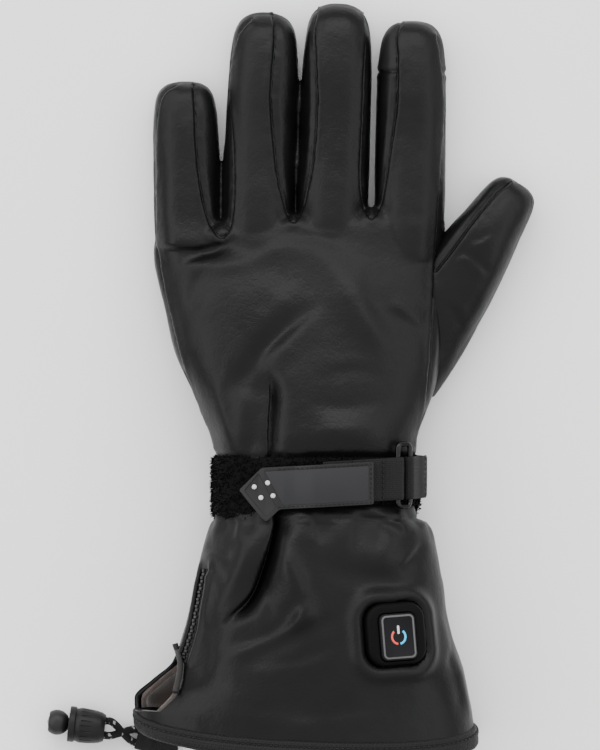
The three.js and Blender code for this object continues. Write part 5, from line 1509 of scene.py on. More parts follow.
def turned(name, profile, sides):
    """A shape spun about its own z axis from (radius, height) points in millimetres."""
    bpy.ops.object.select_all(action="DESELECT")
    radius, height = profile[0]
    bpy.ops.mesh.primitive_circle_add(vertices=sides, radius=max(radius, 0.001) * MM, location=(0, 0, height * MM))
    obj = bpy.context.object
    obj.name = name
    bpy.ops.object.transform_apply(location=True, rotation=True, scale=True)
    select_only(obj)
    bpy.ops.object.mode_set(mode="EDIT")
    bpy.context.tool_settings.mesh_select_mode = (True, False, False)
    bpy.ops.mesh.select_all(action="SELECT")
    for before, after in zip(profile, profile[1:]):
        bpy.ops.mesh.extrude_region_move(TRANSFORM_OT_translate={"value": (0, 0, (after[1] - before[1]) * MM)})
        share = max(after[0], 0.001) / max(before[0], 0.001)
        bpy.ops.transform.resize(value=(share, share, 1), center_override=(0, 0, after[1] * MM))
    bpy.ops.mesh.select_all(action="SELECT")
    bpy.ops.mesh.remove_doubles(threshold=0.004 * MM)
    leave_edit()
    turn_outward(obj)
    return obj


def rounded_profile(points, radius, steps=3):
    """Rounds the corners between a profile's first and last points."""
    made = [points[0]]
    for before, here, after in zip(points, points[1:], points[2:]):
        here = np.array(here, dtype=float)
        to_before, to_after = np.array(before) - here, np.array(after) - here
        reach = min(radius, 0.45 * np.linalg.norm(to_before), 0.45 * np.linalg.norm(to_after))
        if reach < 0.02:
            made.append(tuple(here))
            continue
        start = here + to_before / np.linalg.norm(to_before) * reach
        end = here + to_after / np.linalg.norm(to_after) * reach
        for i in range(steps + 1):
            t = i / steps
            made.append(tuple((1 - t) ** 2 * start + 2 * t * (1 - t) * here + t**2 * end))
    made.append(points[-1])
    return made


def stand_on(obj, origin, side, along, out, angle=40):
    """Sets an object modelled on its own axes into the frame and leaves its place in its mesh."""
    at = to_frame(origin)[0]
    obj.matrix_world = Matrix([(side[i], along[i], out[i], at[i]) for i in range(3)] + [(0, 0, 0, 1)])
    return settle(obj, angle)


def unit(v):
    return np.asarray(v, dtype=float) / np.linalg.norm(v)


# The heat control.

POD_X, POD_Y = 34.5, 58.5
POD_WIDTH, POD_LENGTH, POD_HEIGHT, POD_SUNK = 27.0, 27.6, 6.4, 2.6
POD_SHIFT = 1.3
KEY_WIDTH, KEY_LENGTH, KEY_TRAVEL, KEY_PROUD = 16.5, 20.5, 0.8, 1.4
WELL_DEPTH, WELL_GAP = 3.2, 0.35
MARK_RADIUS = 3.1


def surface_frame(x, y, reach):
    """Origin, side, along and out of the upper leather at a place."""
    side = unit(top_point(x + reach, y, 0) - top_point(x - reach, y, 0))
    out = unit(np.cross(side, top_point(x, y + reach, 0) - top_point(x, y - reach, 0)))
    return top_point(x, y, 0), side, np.cross(out, side), out


def half_ring(name, radius, wire_width, from_turn, to_turn, height):
    """A flat stretch of a ring, from a torus whose other faces are deleted."""
    bpy.ops.object.select_all(action="DESELECT")
    bpy.ops.mesh.primitive_torus_add(
        major_radius=radius * MM, minor_radius=wire_width / 2 * MM, major_segments=72, minor_segments=10
    )
    obj = bpy.context.object
    obj.name = name

    def outside(*corners):
        middle = sum(corners, Vector()) / len(corners)
        turn = math.degrees(math.atan2(middle.y, middle.x)) % 360
        return not from_turn <= turn <= to_turn

    pick(obj, "FACE", outside)
    bpy.ops.mesh.delete(type="FACE")
    bpy.ops.mesh.select_all(action="SELECT")
    bpy.ops.mesh.fill_holes(sides=0)
    bpy.ops.mesh.select_all(action="SELECT")
    bpy.ops.transform.resize(value=(1, 1, 0.22), center_override=(0, 0, 0))
    bpy.ops.transform.translate(value=(0, 0, height * MM))
    leave_edit()
    return obj


def build_control():
    place = surface_frame(POD_X, POD_Y, 12)
    top = POD_HEIGHT - POD_SUNK
    pod = shifted(new_block("control_bezel", POD_WIDTH, POD_LENGTH, 7.6, -POD_SUNK, top, 2.2), POD_SHIFT)
    well = new_block("well_cutter", KEY_WIDTH + 2 * WELL_GAP, KEY_LENGTH + 2 * WELL_GAP, 3.0, top - WELL_DEPTH, 20)
    subtract(pod, well)
    apply_modifier(pod, "BEVEL", width=0.3 * MM, segments=3, limit_method="ANGLE", angle_limit=math.radians(50))
    finish_piece(stand_on(pod, *place), "glove", "housing_plastic", FINISHES["bezel"], "control_housing")

    low = top - WELL_DEPTH + KEY_TRAVEL + 0.3
    high = top + KEY_PROUD
    key = new_block("control_button", KEY_WIDTH, KEY_LENGTH, 2.8, low, high, 0.9)
    pick(key, "FACE", lambda *c: min(v.z for v in c) > high - 0.01)
    bpy.ops.mesh.inset(thickness=0.75 * MM, depth=0)
    bpy.ops.mesh.inset(thickness=0.25 * MM, depth=-0.18 * MM)
    leave_edit()
    stand_on(key, *place)
    finish_piece(key, "key", "key_rubber", FINISHES["button"], "control_key")
    frame_line = new_block("button_frame", KEY_WIDTH - 1.5, KEY_LENGTH - 1.5, 2.2, high - 0.5, high + 0.08, 0.06)
    inside = new_block("frame_cutter", KEY_WIDTH - 3.1, KEY_LENGTH - 3.1, 1.5, high - 2, high + 3)
    subtract(frame_line, inside)
    finish_piece(stand_on(frame_line, *place), "key", "key_rubber", FINISHES["rim"])
    marks = (
        ("warm_arc", 128, 262, "warm_mark"),
        ("cool_arc", 278, 412, "cool_mark"),
    )
    for name, start, end, look in marks:
        if end > 360:
            obj = half_ring(name, MARK_RADIUS, 0.95, start - 100, end - 100, high - 0.16)
            select_only(obj)
            bpy.ops.object.mode_set(mode="EDIT")
            bpy.ops.mesh.select_all(action="SELECT")
            obj_turn = math.radians(100)
            bpy.ops.transform.rotate(value=-obj_turn, orient_axis="Z", center_override=(0, 0, 0))
            leave_edit()
        else:
            obj = half_ring(name, MARK_RADIUS, 0.95, start, end, high - 0.16)
        finish_piece(stand_on(obj, *place), "key", "key_rubber", FINISHES[look])
    bar = new_block("mark_bar", 0.95, 3.6, 0.35, high - 0.3, high - 0.06)
    pick(bar, "FACE", lambda *c: True)
    bpy.ops.transform.translate(value=(0, MARK_RADIUS * MM, 0))
    leave_edit()
    finish_piece(stand_on(bar, *place), "key", "key_rubber", FINISHES["nub"])


# The wrist strap.

STRAP_Y = WRIST_Y + 0.7
STRAP_WIDTH, STRAP_THICKNESS, STRAP_SLOPE, STRAP_SHIFT = 18.6, 1.3, 0.055, 1.2
BAND_TOP = GAP + 1.9
BAND_LINES = (105.3, 132.2)
RING_X, RING_WIRE, RING_GAP, RING_LENGTH, RING_CORNER = 38.5, 2.2, 4.4, 25.0, 2.0
RING_Y = STRAP_Y + STRAP_SLOPE * RING_X + 2.6
TAB_TIP_X, TAB_LENGTH, TAB_WIDTH, TAB_THICKNESS, TAB_RECESS = -33.3, 58.5, 18.6, 2.4, 0.9
STACK = 2 * (STRAP_THICKNESS + 0.4)
NUB_DIAMETER = 2.2
WEBBING_SCALE = (0.85, 0.62)
TUFTS = 7000
NUBS = ((0.11, 0.06), (0.16, -0.2), (0.21, 0.14), (0.25, -0.17))
# The tab's outline from its tip, along as a share of its length and across of its width, and its two sunken fields.
TAB_OUTLINE = (
    (-0.005, 0.0), (0.08, 0.25), (0.165, 0.5), (1.0, 0.5), (1.0, -0.5), (0.3, -0.5), (0.2, -0.78), (0.17, -0.7),
)
FILM_OUTLINE = ((0.185, 0.41), (0.965, 0.41), (0.965, -0.41), (0.325, -0.41))
TIP_OUTLINE = ((0.035, -0.02), (0.142, 0.37), (0.278, -0.45), (0.198, -0.66))


def build_band():
    lines = np.linspace(*BAND_LINES, 26)
    turns = even_turns(body_section(WRIST_Y), 220)

    def tuck(points, normals):
        edge = np.minimum(points[:, 1] - BAND_LINES[0], BAND_LINES[1] - points[:, 1])
        tucked = 1.2 * np.exp(-np.maximum(edge, 0) / 0.8)
        return layered_noise(points, (6.0, 51, 0.25), (2.2, 52, 0.15)) - tucked

    band = raise_skin(sleeve("pile_band", lines, turns, -BAND_TOP + 0.3, 1.3), tuck)
    points = mesh_points(band)
    beside_strap = smooth_step(points[:, 0], -24, -15) * smooth_step(points[:, 2], 12, 24)
    low = BAND_LINES[0] + 5.4 * beside_strap
    points[:, 1] = low + (points[:, 1] - BAND_LINES[0]) * (BAND_LINES[1] - low) / (BAND_LINES[1] - BAND_LINES[0])
    set_points(band, points)
    points, normals = mesh_points(band), mesh_normals(band)
    dice = random.Random(7)
    centre = points.mean(axis=0)
    outside = np.nonzero(
        (np.einsum("ij,ij->i", normals[:, [0, 2]], points[:, [0, 2]] - centre[[0, 2]]) > 0) & (points[:, 2] > 1.2)
    )[0]
    tufts, faces = [], []
    for _ in range(TUFTS):
        k = outside[dice.randrange(len(outside))]
        at = points[k] + np.array([dice.uniform(-0.7, 0.7), dice.uniform(-0.6, 0.6), 0])
        at[1] = min(max(at[1], BAND_LINES[0]), BAND_LINES[1])
        covered = abs(at[1] - STRAP_Y - STRAP_SLOPE * at[0]) < 7.5 and -24 < at[0] < 52 and at[2] > 25
        if covered:
            continue
        way = unit(normals[k] + np.array([dice.uniform(-0.6, 0.6) for _ in range(3)]))
        side = unit(np.cross(way, (0.3, 1.0, 0.1)))
        front = np.cross(side, way)
        tall, half = dice.uniform(0.7, 1.5), dice.uniform(0.16, 0.28)
        bend = np.array([dice.uniform(-0.5, 0.5) for _ in range(3)])
        start = len(tufts)
        for share, scale in ((-0.3, 1.0), (0.5, 0.85)):
            for turn in (0.0, 2.1, 4.2):
                reach = side * math.cos(turn) + front * math.sin(turn)
                tufts.append(at + way * tall * share + bend * max(share, 0) ** 2 + reach * half * scale)
        tufts.append(at + way * tall + bend)
        for i in range(3):
            j = (i + 1) % 3
            faces += [(start + i, start + j, start + 3 + j, start + 3 + i), (start + 3 + i, start + 3 + j, start + 6)]
        faces.append((start + 2, start + 1, start))
    made = np.array(tufts)
    made[:, 2] = np.maximum(made[:, 2], 0.05)
    hairs = make_mesh("band_pile", made, faces)
    finish_piece(join("pile_band", [band, hairs]), "glove", "pile", FINISHES["pile"], "wrist_band")


def wrist_path(from_x, to_x, height, count):
    return [top_point(x, WRIST_Y, -height)[[0, 2]] for x in np.linspace(from_x, to_x, count)]


def side_path(from_turn, to_turn, height, count):
    section = body_section(WRIST_Y)
    return [section_points(section, [t], -height)[0][[0, 2]] for t in np.linspace(from_turn, to_turn, count)]


def turn_at(x, height):
    section = body_section(WRIST_Y)
    return math.acos(min(1.0, (x - section["centre"]) / (section["half"] + height)) ** (CROWN / 2))


def ring_lines():
    """The ring's middle, its direction over the wrist and its two long bars."""
    lift = BAND_TOP + 0.75 + RING_WIRE / 2 + STRAP_THICKNESS
    middle = top_point(RING_X, WRIST_Y, -lift)[[0, 2]]
    ahead = unit(top_point(RING_X + 2.5, WRIST_Y, -lift)[[0, 2]] - top_point(RING_X - 3, WRIST_Y, -lift)[[0, 2]])
    span = (RING_GAP + RING_WIRE) / 2
    return middle, ahead, middle - ahead * span, middle + ahead * span


def webbing(name, path, width, thickness, middle, pitch):
    """A woven strap along a path of (x, z) points, its width along y."""
    flat = smooth_path(np.array(path), 110)
    ways = np.gradient(flat, axis=0)
    ways /= np.linalg.norm(ways, axis=1)[:, None]
    ups = np.stack([-ways[:, 1], np.zeros(len(flat)), ways[:, 0]], axis=1)
    centres = np.stack([flat[:, 0], middle + STRAP_SLOPE * flat[:, 0], flat[:, 1]], axis=1)
    sides = np.tile([0.0, 1.0, 0.0], (len(flat), 1))
    across = np.linspace(-width / 2, width / 2, 25)
    bulge = thickness / 2 * np.sqrt(np.clip(1 - (np.abs(across) / (width / 2)) ** 14, 0.08, 1))
    outline = np.array([(a, b) for a, b in zip(across, bulge)] + [(a, -b) for a, b in zip(across[::-1], bulge[::-1])])
    obj = swept(name, centres, sides, ups, outline)
    points = mesh_points(obj)
    points += mesh_normals(obj) * (value_noise(points, 5.0, 61) * 0.1)[:, None]
    set_points(obj, points)
    run = run_along(flat)
    values = [(p[0] / pitch[0], r / pitch[1]) for r in run for p in outline] + [(0, 0), (0, run[-1] / pitch[1])]
    uv_from(obj, values)
    return obj


def plate(name, outline, low, high, corner):
    """A flat plate from a polygon of (along, across) shares, extruded to its thickness and its corners rounded."""
    points = [(a * TAB_LENGTH, b * TAB_WIDTH) for a, b in outline]
    bpy.ops.object.select_all(action="DESELECT")
    bpy.ops.mesh.primitive_circle_add(vertices=len(points), radius=TAB_LENGTH * MM, fill_type="NGON")
    obj = bpy.context.object
    obj.name = name
    for vertex, (x, y) in zip(obj.data.vertices, points):
        vertex.co = Vector((x, y, low)) * MM
    pick(obj, "FACE", lambda *c: True)
    bpy.ops.mesh.extrude_region_move(TRANSFORM_OT_translate={"value": (0, 0, (high - low) * MM)})
    leave_edit()
    turn_outward(obj)
    if corner:
        bevel_picked(obj, lambda a, b: abs(a.z - b.z) > 0.01, corner, 4)
    return obj


def tab_point(x, across, height):
    rise = STACK * float(smooth_step(x, -11, 1))
    base = top_point(x, WRIST_Y, -(BAND_TOP + 0.4 + rise + height))
    return np.array([base[0], STRAP_Y + STRAP_SLOPE * x + across, base[2]])


def lay_on_wrist(obj):
    """Cuts a flat plate into strips and lays it over the band."""
    reach = [v.co.x / MM for v in obj.data.vertices]
    for x in np.arange(math.ceil(min(reach)) + 0.37, max(reach), 1.5):
        select_only(obj)
        bpy.ops.object.mode_set(mode="EDIT")
        bpy.ops.mesh.select_all(action="SELECT")
        bpy.ops.mesh.bisect(plane_co=(x * MM, 0, 0), plane_no=(1, 0, 0))
        leave_edit()
    flat = np.array([v.co for v in obj.data.vertices]) / MM
    set_points(obj, np.array([tab_point(TAB_TIP_X + p[0], p[1], p[2]) for p in flat]))
    return settle(obj, 35)


def build_strap():
    middle, ahead, left_bar, right_bar = ring_lines()
    lean = math.atan2(ahead[1], ahead[0])
    wrap = RING_WIRE / 2 + 0.4 + STRAP_THICKNESS / 2

    def arc(centre, start, end):
        return [centre + wrap * np.array([math.cos(t), math.sin(t)]) for t in np.linspace(start, end, 9)]

    low = BAND_TOP + 0.4 + STRAP_THICKNESS / 2
    high = BAND_TOP + 0.8 + 1.5 * STRAP_THICKNESS
    path = wrist_path(3, left_bar[0] - 4, low, 8) + arc(left_bar, lean - math.pi / 2, lean + math.pi / 2)
    path += wrist_path(left_bar[0] - 5, 16, high, 6)
    strap = webbing("strap_cloth", path, STRAP_WIDTH, STRAP_THICKNESS, STRAP_Y + STRAP_SHIFT, WEBBING_SCALE)
    finish_piece(strap, "glove", "webbing", FINISHES["webbing"], "strap_webbing")
    high += 0.1
    path = side_path(-0.5, turn_at(right_bar[0] + 1.6, low), low, 6)
    path += arc(right_bar, lean - math.pi / 2, lean - 1.5 * math.pi)
    path += side_path(turn_at(right_bar[0] + 3.4, high), -0.1, high, 5)
    keeper = webbing("keeper_cloth", path, STRAP_WIDTH, STRAP_THICKNESS, STRAP_Y + STRAP_SHIFT, WEBBING_SCALE)
    finish_piece(keeper, "glove", "webbing", FINISHES["webbing"], "ring_keeper")

    half_span, half_long = (RING_GAP + RING_WIRE) / 2, (RING_LENGTH + RING_WIRE) / 2
    bpy.ops.object.select_all(action="DESELECT")
    bpy.ops.mesh.primitive_torus_add(
        major_radius=RING_CORNER * MM, minor_radius=RING_WIRE / 2 * MM, major_segments=48, minor_segments=20,
        rotation=(0, 0, math.pi / 48),
    )
    ring = bpy.context.object
    ring.name = "strap_buckle"
    bpy.ops.object.transform_apply(location=True, rotation=True, scale=True)
    for axis, reach in ((0, half_span - RING_CORNER), (1, half_long - RING_CORNER)):
        for sign in (-1, 1):
            pick(ring, "VERT", lambda c: c[axis] * sign > 0)
            move = [0.0, 0.0, 0.0]
            move[axis] = sign * reach * MM
            bpy.ops.transform.translate(value=move)
            leave_edit()
    side = np.array([ahead[0], 0, ahead[1]])
    out = np.array([-ahead[1], 0, ahead[0]])
    stand_on(ring, (middle[0], RING_Y, middle[1]), side, (0.0, 1.0, 0.0), out, 60)
    finish_piece(ring, "glove", "ring_metal", FINISHES["ring"], "strap_ring")

    tab = plate("tab_plate", TAB_OUTLINE, 0, TAB_THICKNESS, 0.9)
    subtract(tab, plate("film_cutter", FILM_OUTLINE, TAB_THICKNESS - TAB_RECESS, 9, 0.5))
    subtract(tab, plate("tip_cutter", TIP_OUTLINE, TAB_THICKNESS - 0.35, 9, 0.8))
    apply_modifier(tab, "BEVEL", width=0.22 * MM, segments=3, limit_method="ANGLE", angle_limit=math.radians(50))
    finish_piece(lay_on_wrist(tab), "glove", "tab_rubber", FINISHES["tab"], "strap_tab")
    film = plate("film_plate", FILM_OUTLINE, TAB_THICKNESS - TAB_RECESS + 0.1, TAB_THICKNESS - 0.05, 0.5)
    apply_modifier(film, "BEVEL", width=0.15 * MM, segments=2, limit_method="ANGLE", angle_limit=math.radians(50))
    finish_piece(lay_on_wrist(film), "glove", "insert_film", FINISHES["film"], "tab_insert")
    for i, (along, across) in enumerate(NUBS):
        bpy.ops.object.select_all(action="DESELECT")
        bpy.ops.mesh.primitive_uv_sphere_add(segments=20, ring_count=12, radius=NUB_DIAMETER / 2 * MM)
        nub = bpy.context.object
        nub.name = "tab_nub_%d" % (i + 1)
        pick(nub, "FACE", lambda *c: True)
        bpy.ops.transform.resize(value=(1, 1, 0.72), center_override=(0, 0, 0))
        bpy.ops.mesh.bisect(plane_co=(0, 0, -0.2 * MM), plane_no=(0, 0, 1), clear_inner=True, use_fill=True)
        leave_edit()
        x = TAB_TIP_X + along * TAB_LENGTH
        slope = unit((tab_point(x + 1, 0, 0) - tab_point(x - 1, 0, 0)) * (1, 0, 1))
        out = np.array([-slope[2], 0, slope[0]])
        stand_on(nub, tab_point(x, across * TAB_WIDTH, TAB_THICKNESS - 0.1), slope, (0.0, 1.0, 0.0), out, 60)
        finish_piece(nub, "glove", "nub_rubber", FINISHES["nub"], "grip_nub_%d" % (i + 1))
    spots = []
    for across in np.linspace(-0.45, 0.45, 9) * TAB_WIDTH:
        x = TAB_TIP_X + 0.982 * TAB_LENGTH
        at = tab_point(x, across, TAB_THICKNESS + 0.05)
        out = unit(tab_point(x, across, 4) - tab_point(x, across, 0))
        spots.append((at, np.array([0.0, 1.0, 0.0]), out))
    for side_y in (-0.445, 0.445):
        for x in np.arange(0.3, 0.97, 0.034) * TAB_LENGTH + TAB_TIP_X:
            y = side_y * TAB_WIDTH
            at = tab_point(x, y, TAB_THICKNESS + 0.02)
            way = tab_point(x + 1, y, TAB_THICKNESS) - tab_point(x - 1, y, TAB_THICKNESS)
            spots.append((at, way, unit(tab_point(x, 0, 4) - tab_point(x, 0, 0))))
    for x_share in np.linspace(-0.42, 0.42, 8):
        across = x_share * STRAP_WIDTH
        for x in (left_bar[0] - 6.5, right_bar[0] + 7.0):
            at = top_point(x, WRIST_Y, -(high + STRAP_THICKNESS / 2 + 0.02))
            after = top_point(x + 1, WRIST_Y, -(high + STRAP_THICKNESS / 2))
            way = unit((after - at) * (1, 0, 1))
            at[1] = STRAP_Y + STRAP_SHIFT + STRAP_SLOPE * x + across
            spots.append((at, np.array([0.0, 1.0, 0.0]), np.array([-way[2], 0, way[0]])))
    finish_piece(stitches("strap_stitches", spots, 1.5, 0.5), "glove", "webbing", FINISHES["thread"])


# The drawcord.

CORD_DIAMETER, CORD_SPACING = 3.4, 5.8
LOCK_DIAMETER, LOCK_LENGTH, LOCK_TRAVEL = 15.8, 16.0, 2.5
KNOB_DIAMETER, STEM_DIAMETER, KNOB_CENTRE = 11.2, 5.0, 13.9
LOCK_AT = np.array([-100.6, 12.8, LOCK_DIAMETER / 2])
LOCK_TILT = math.radians(7)
LOCK_AXES = (
    np.array([0.0, 0.0, 1.0]),
    np.array([-math.sin(LOCK_TILT), -math.cos(LOCK_TILT), 0.0]),
    np.array([-math.cos(LOCK_TILT), math.sin(LOCK_TILT), 0.0]),
)
LOCK_PROFILE = (
    (0.0, -0.12), (0.36, -0.12), (0.36, 0.3), (0.78, 0.3), (0.78, 0.54), (1.0, 0.54), (1.0, 0.37), (0.9, 0.35),
    (0.93, 0.31), (0.98, 0.24), (0.97, 0.06), (0.92, -0.2), (0.86, -0.34), (0.74, -0.46), (0.0, -0.46),
)
CHANNEL_PATH = ((-79.0, 8.0), (-73.0, 6.4), (-67.0, 5.7), (-61.5, 6.2))
CHANNEL_WIDTH, CHANNEL_HEIGHT = 11.0, 5.6
MOUTH_SHARE = 0.85  # how much closer the strands lie in the channel's mouth than in the lock
LOCK_GRIPS, GRIP_DIAMETER, GRIP_LENGTH = 20, 0.84, 5.2


def lock_point(across, along):
    """A point of the lock: across its two holes, along its axis away from the cuff."""
    return LOCK_AT + across * LOCK_AXES[1] + along * LOCK_AXES[2]


def cord_mouth(side):
    """Where one strand leaves the channel, with the ways into the channel and across it."""
    mouth = np.array([*CHANNEL_PATH[0], CHANNEL_HEIGHT / 2])
    way = unit(np.array([*CHANNEL_PATH[1], CHANNEL_HEIGHT / 2]) - mouth)
    across = np.array([-way[1], way[0], 0.0])
    return mouth + across * side * CORD_SPACING / 2 * MOUTH_SHARE, way, across


def build_drawcord():
    for side, node in ((1, "drawcord_front"), (-1, "drawcord_back")):
        at_mouth, way, _ = cord_mouth(side)
        points = [
            at_mouth + way * 8.4,
            at_mouth + way * 3.5,
            at_mouth - way * 2.5,
            lock_point(side * CORD_SPACING / 2, -0.66 * LOCK_LENGTH),
            lock_point(side * CORD_SPACING / 2, -0.36 * LOCK_LENGTH),
            lock_point(side * CORD_SPACING / 2, -0.15 * LOCK_LENGTH),
        ]
        centres = smooth_path(points, 60)
        _, sides, ups = path_frames(centres)
        cord = swept(node + "_strand", centres, sides, ups, oval(CORD_DIAMETER, CORD_DIAMETER, 24))
        run = run_along(centres)
        uv_from(cord, [(k * 0.5, r * 1.1) for r in run for k in range(24)] + [(0, 0), (0, run[-1] * 1.1)])
        finish_piece(cord, "glove", "cord", FINISHES["cord"], node)
        path = to_frame(centres)


def build_lock():
    profile = [(r * LOCK_DIAMETER / 2, a * LOCK_LENGTH) for r, a in LOCK_PROFILE]
    lock = turned("lock_barrel", rounded_profile(profile, 0.45), 96)
    grips = []
    for i in range(LOCK_GRIPS):
        turn = 2 * math.pi * i / LOCK_GRIPS
        bpy.ops.object.select_all(action="DESELECT")
        bpy.ops.mesh.primitive_cylinder_add(vertices=12, radius=GRIP_DIAMETER / 2 * MM, depth=GRIP_LENGTH * MM)
        rib = bpy.context.object
        reach = 0.955 * LOCK_DIAMETER / 2 + 0.12
        rib.location = Vector((reach * math.cos(turn), reach * math.sin(turn), 0.6)) * MM
        bpy.ops.object.transform_apply(location=True, rotation=True, scale=True)
        grips.append(rib)
    cutter = join("grip_cutter", grips)
    subtract(lock, cutter)
    for side in (1, -1):
        bpy.ops.object.select_all(action="DESELECT")
        bpy.ops.mesh.primitive_cylinder_add(
            vertices=32, radius=(CORD_DIAMETER / 2 + 0.2) * MM, depth=8 * MM,
            location=Vector((0, side * CORD_SPACING / 2, -0.5 * LOCK_LENGTH)) * MM,
        )
        bore = bpy.context.object
        bpy.ops.object.transform_apply(location=True, rotation=True, scale=True)
        subtract(lock, bore)
    finish_piece(stand_on(lock, LOCK_AT, *LOCK_AXES, 35), "glove", "lock_plastic", FINISHES["lock"], "cord_lock")

    stem_end = -0.12 * LOCK_LENGTH + LOCK_TRAVEL + 0.5
    neck = math.asin(STEM_DIAMETER / KNOB_DIAMETER)
    rim = KNOB_DIAMETER / 2
    points = [(0.0, stem_end), (STEM_DIAMETER / 2, stem_end)]
    for turn in np.linspace(neck, 0.72 * math.pi, 12):
        points.append((rim * math.sin(turn), KNOB_CENTRE - rim * math.cos(turn)))
    last_r, last_a = points[-1]
    points += [(last_r - 0.35, last_a + 0.1), (last_r - 0.6, last_a - 0.1), (0.0, last_a + 0.75)]
    plunger = turned("lock_knob", points, 64)
    stand_on(plunger, LOCK_AT, *LOCK_AXES, 35)
    finish_piece(plunger, "plunger", "plunger_plastic", FINISHES["plunger"], "lock_plunger")

    centres = smooth_path([(x, y, CHANNEL_HEIGHT / 2) for x, y in CHANNEL_PATH], 60)
    _, sides, ups = path_frames(centres)
    channel = swept("channel_cloth", centres, sides, ups, oval(CHANNEL_WIDTH, CHANNEL_HEIGHT, 48))
    points, normals = mesh_points(channel), mesh_normals(channel)
    wrinkles = layered_noise(points * np.array([1, 0.4, 1]), (3.0, 71, 0.3)) + layered_noise(points, (1.6, 72, 0.08))
    points += normals * wrinkles[:, None]
    points[:, 2] = np.maximum(points[:, 2], GROUND)
    set_points(channel, points)
    run = run_along(centres)
    uv_from(channel, [(k * 0.9, r / 0.7) for r in run for k in range(48)] + [(0, 0), (0, run[-1] / 0.7)])
    for side in (1, -1):
        at, way, across = cord_mouth(side)
        bpy.ops.object.select_all(action="DESELECT")
        bpy.ops.mesh.primitive_cylinder_add(vertices=32, radius=(CORD_DIAMETER / 2 + 0.15) * MM, depth=8 * MM)
        bore = bpy.context.object
        stand_on(bore, at, across, np.array([0.0, 0.0, 1.0]), way)
        subtract(channel, bore)
    finish_piece(channel, "glove", "webbing", FINISHES["webbing"], "cord_channel")


# The studio.

CAMERA_AT = (-0.01408, 0.00246, 3.0)
CAMERA_LENS = 324.5
HORIZON_SHARE, ZENITH_SHARE = 0.4, 1.15


def build_studio(light_power, world_strength):
    scene = bpy.context.scene
    camera_data = bpy.data.cameras.new("camera")
    camera = bpy.data.objects.new("camera", camera_data)
    camera.location = CAMERA_AT
    camera.rotation_euler = (0, 0, 0)
    camera_data.sensor_fit = "VERTICAL"
    camera_data.sensor_height = 36
    camera_data.lens = CAMERA_LENS
    camera_data.clip_end = 20
    scene.collection.objects.link(camera)
    scene.camera = camera

    bpy.ops.object.select_all(action="DESELECT")
    bpy.ops.mesh.primitive_plane_add(size=6, location=(0, 0, frame_floor()))
    floor = bpy.context.object
    floor.name = "floor"
    bpy.ops.object.transform_apply(location=True, rotation=True, scale=True)
    material, tree, shader = base_material("pale floor", 0.7)
    coords = object_coords(tree)
    grain = add(tree, "ShaderNodeTexNoise", {"Scale": 60.0, "Detail": 2.0})
    wire(tree, coords[0], coords[1], grain, "Vector")
    tint(tree, shader, (grain, "Fac"), (0.96, 0.96, 0.96), (0.98, 0.98, 0.98))
    floor.data.materials.append(material)

    world = bpy.data.worlds.new("studio")
    world.use_nodes = True
    tree = world.node_tree
    background = tree.nodes["Background"]
    background.inputs["Color"].default_value = (1, 1, 1, 1)
    direction = add(tree, "ShaderNodeTexCoord")
    parts = add(tree, "ShaderNodeSeparateXYZ")
    wire(tree, direction, "Generated", parts, 0)
    # dimmer towards the horizon, as in a room lit from above
    horizon, zenith = HORIZON_SHARE * world_strength, ZENITH_SHARE * world_strength
    fade = add(tree, "ShaderNodeMapRange", {"From Min": 0.0, "From Max": 0.9, "To Min": horizon, "To Max": zenith})
    wire(tree, parts, "Z", fade, "Value")
    wire(tree, fade, "Result", background, "Strength")
    scene.world = world
    # name, power share, wide, long, place
    lamps = (
        ("left_softbox", 0.8, 1.0, 2.4, (-1.5, 0.4, 1.2)),
        ("right_softbox", 0.5, 0.9, 2.4, (1.5, 0.3, 1.2)),
        ("top_softbox", 1.1, 2.2, 0.9, (0.0, 1.5, 1.5)),
    )
    for name, share, wide, long, place in lamps:
        data = bpy.data.lights.new(name, "AREA")
        data.shape = "RECTANGLE"
        data.size, data.size_y = (wide, long) if abs(place[0]) < abs(place[1]) else (long, wide)
        data.energy = light_power * share
        lamp = bpy.data.objects.new(name, data)
        lamp.location = place
        lamp.rotation_euler = (-Vector(place)).to_track_quat("-Z", "Y").to_euler()
        scene.collection.objects.link(lamp)


def frame_floor():
    return min(0.0, CAD_BOX[0][2])


# The add-on.


class GloveLooks(bpy.types.PropertyGroup):
    leather: bpy.props.FloatVectorProperty(
        name="Leather", description="Base colour of the black leather",
        default=(0.0024, 0.0024, 0.0026), min=0, max=1, subtype="COLOR",
    )
    leather_roughness: bpy.props.FloatProperty(
        name="Leather roughness", description="How dull the leather's finish is",
        default=0.38, min=0.1, max=0.9, subtype="FACTOR",
    )
    lining: bpy.props.FloatVectorProperty(
        name="Lining", description="Base colour of the brushed lining",
        default=(0.02, 0.012, 0.009), min=0, max=1, subtype="COLOR",
    )
    film: bpy.props.FloatVectorProperty(
        name="Tab film", description="Colour of the grey film on the strap's tab",
        default=(0.014, 0.014, 0.0158), min=0, max=1, subtype="COLOR",
    )
    button: bpy.props.FloatVectorProperty(
        name="Button", description="Colour of the heat control's button",
        default=(0.0036, 0.0036, 0.0046), min=0, max=1, subtype="COLOR",
    )


class GloveStudio(bpy.types.PropertyGroup):
    light_power: bpy.props.FloatProperty(
        name="Light power", description="Power that each lamp takes its share of",
        default=26.0, min=0, max=500, subtype="POWER",
    )
    world_strength: bpy.props.FloatProperty(
        name="World strength", description="Brightness of the pale surroundings", default=1.3, min=0, max=5
    )


class GLOVE_OT_finishes(bpy.types.Operator):
    """Makes the leather, cloth, metal and moulded finishes"""

    bl_idname = "glove.finishes"
    bl_label = "Finishes"

    def execute(self, context):
        build_finishes(context.scene.glove_looks)
        return {"FINISHED"}


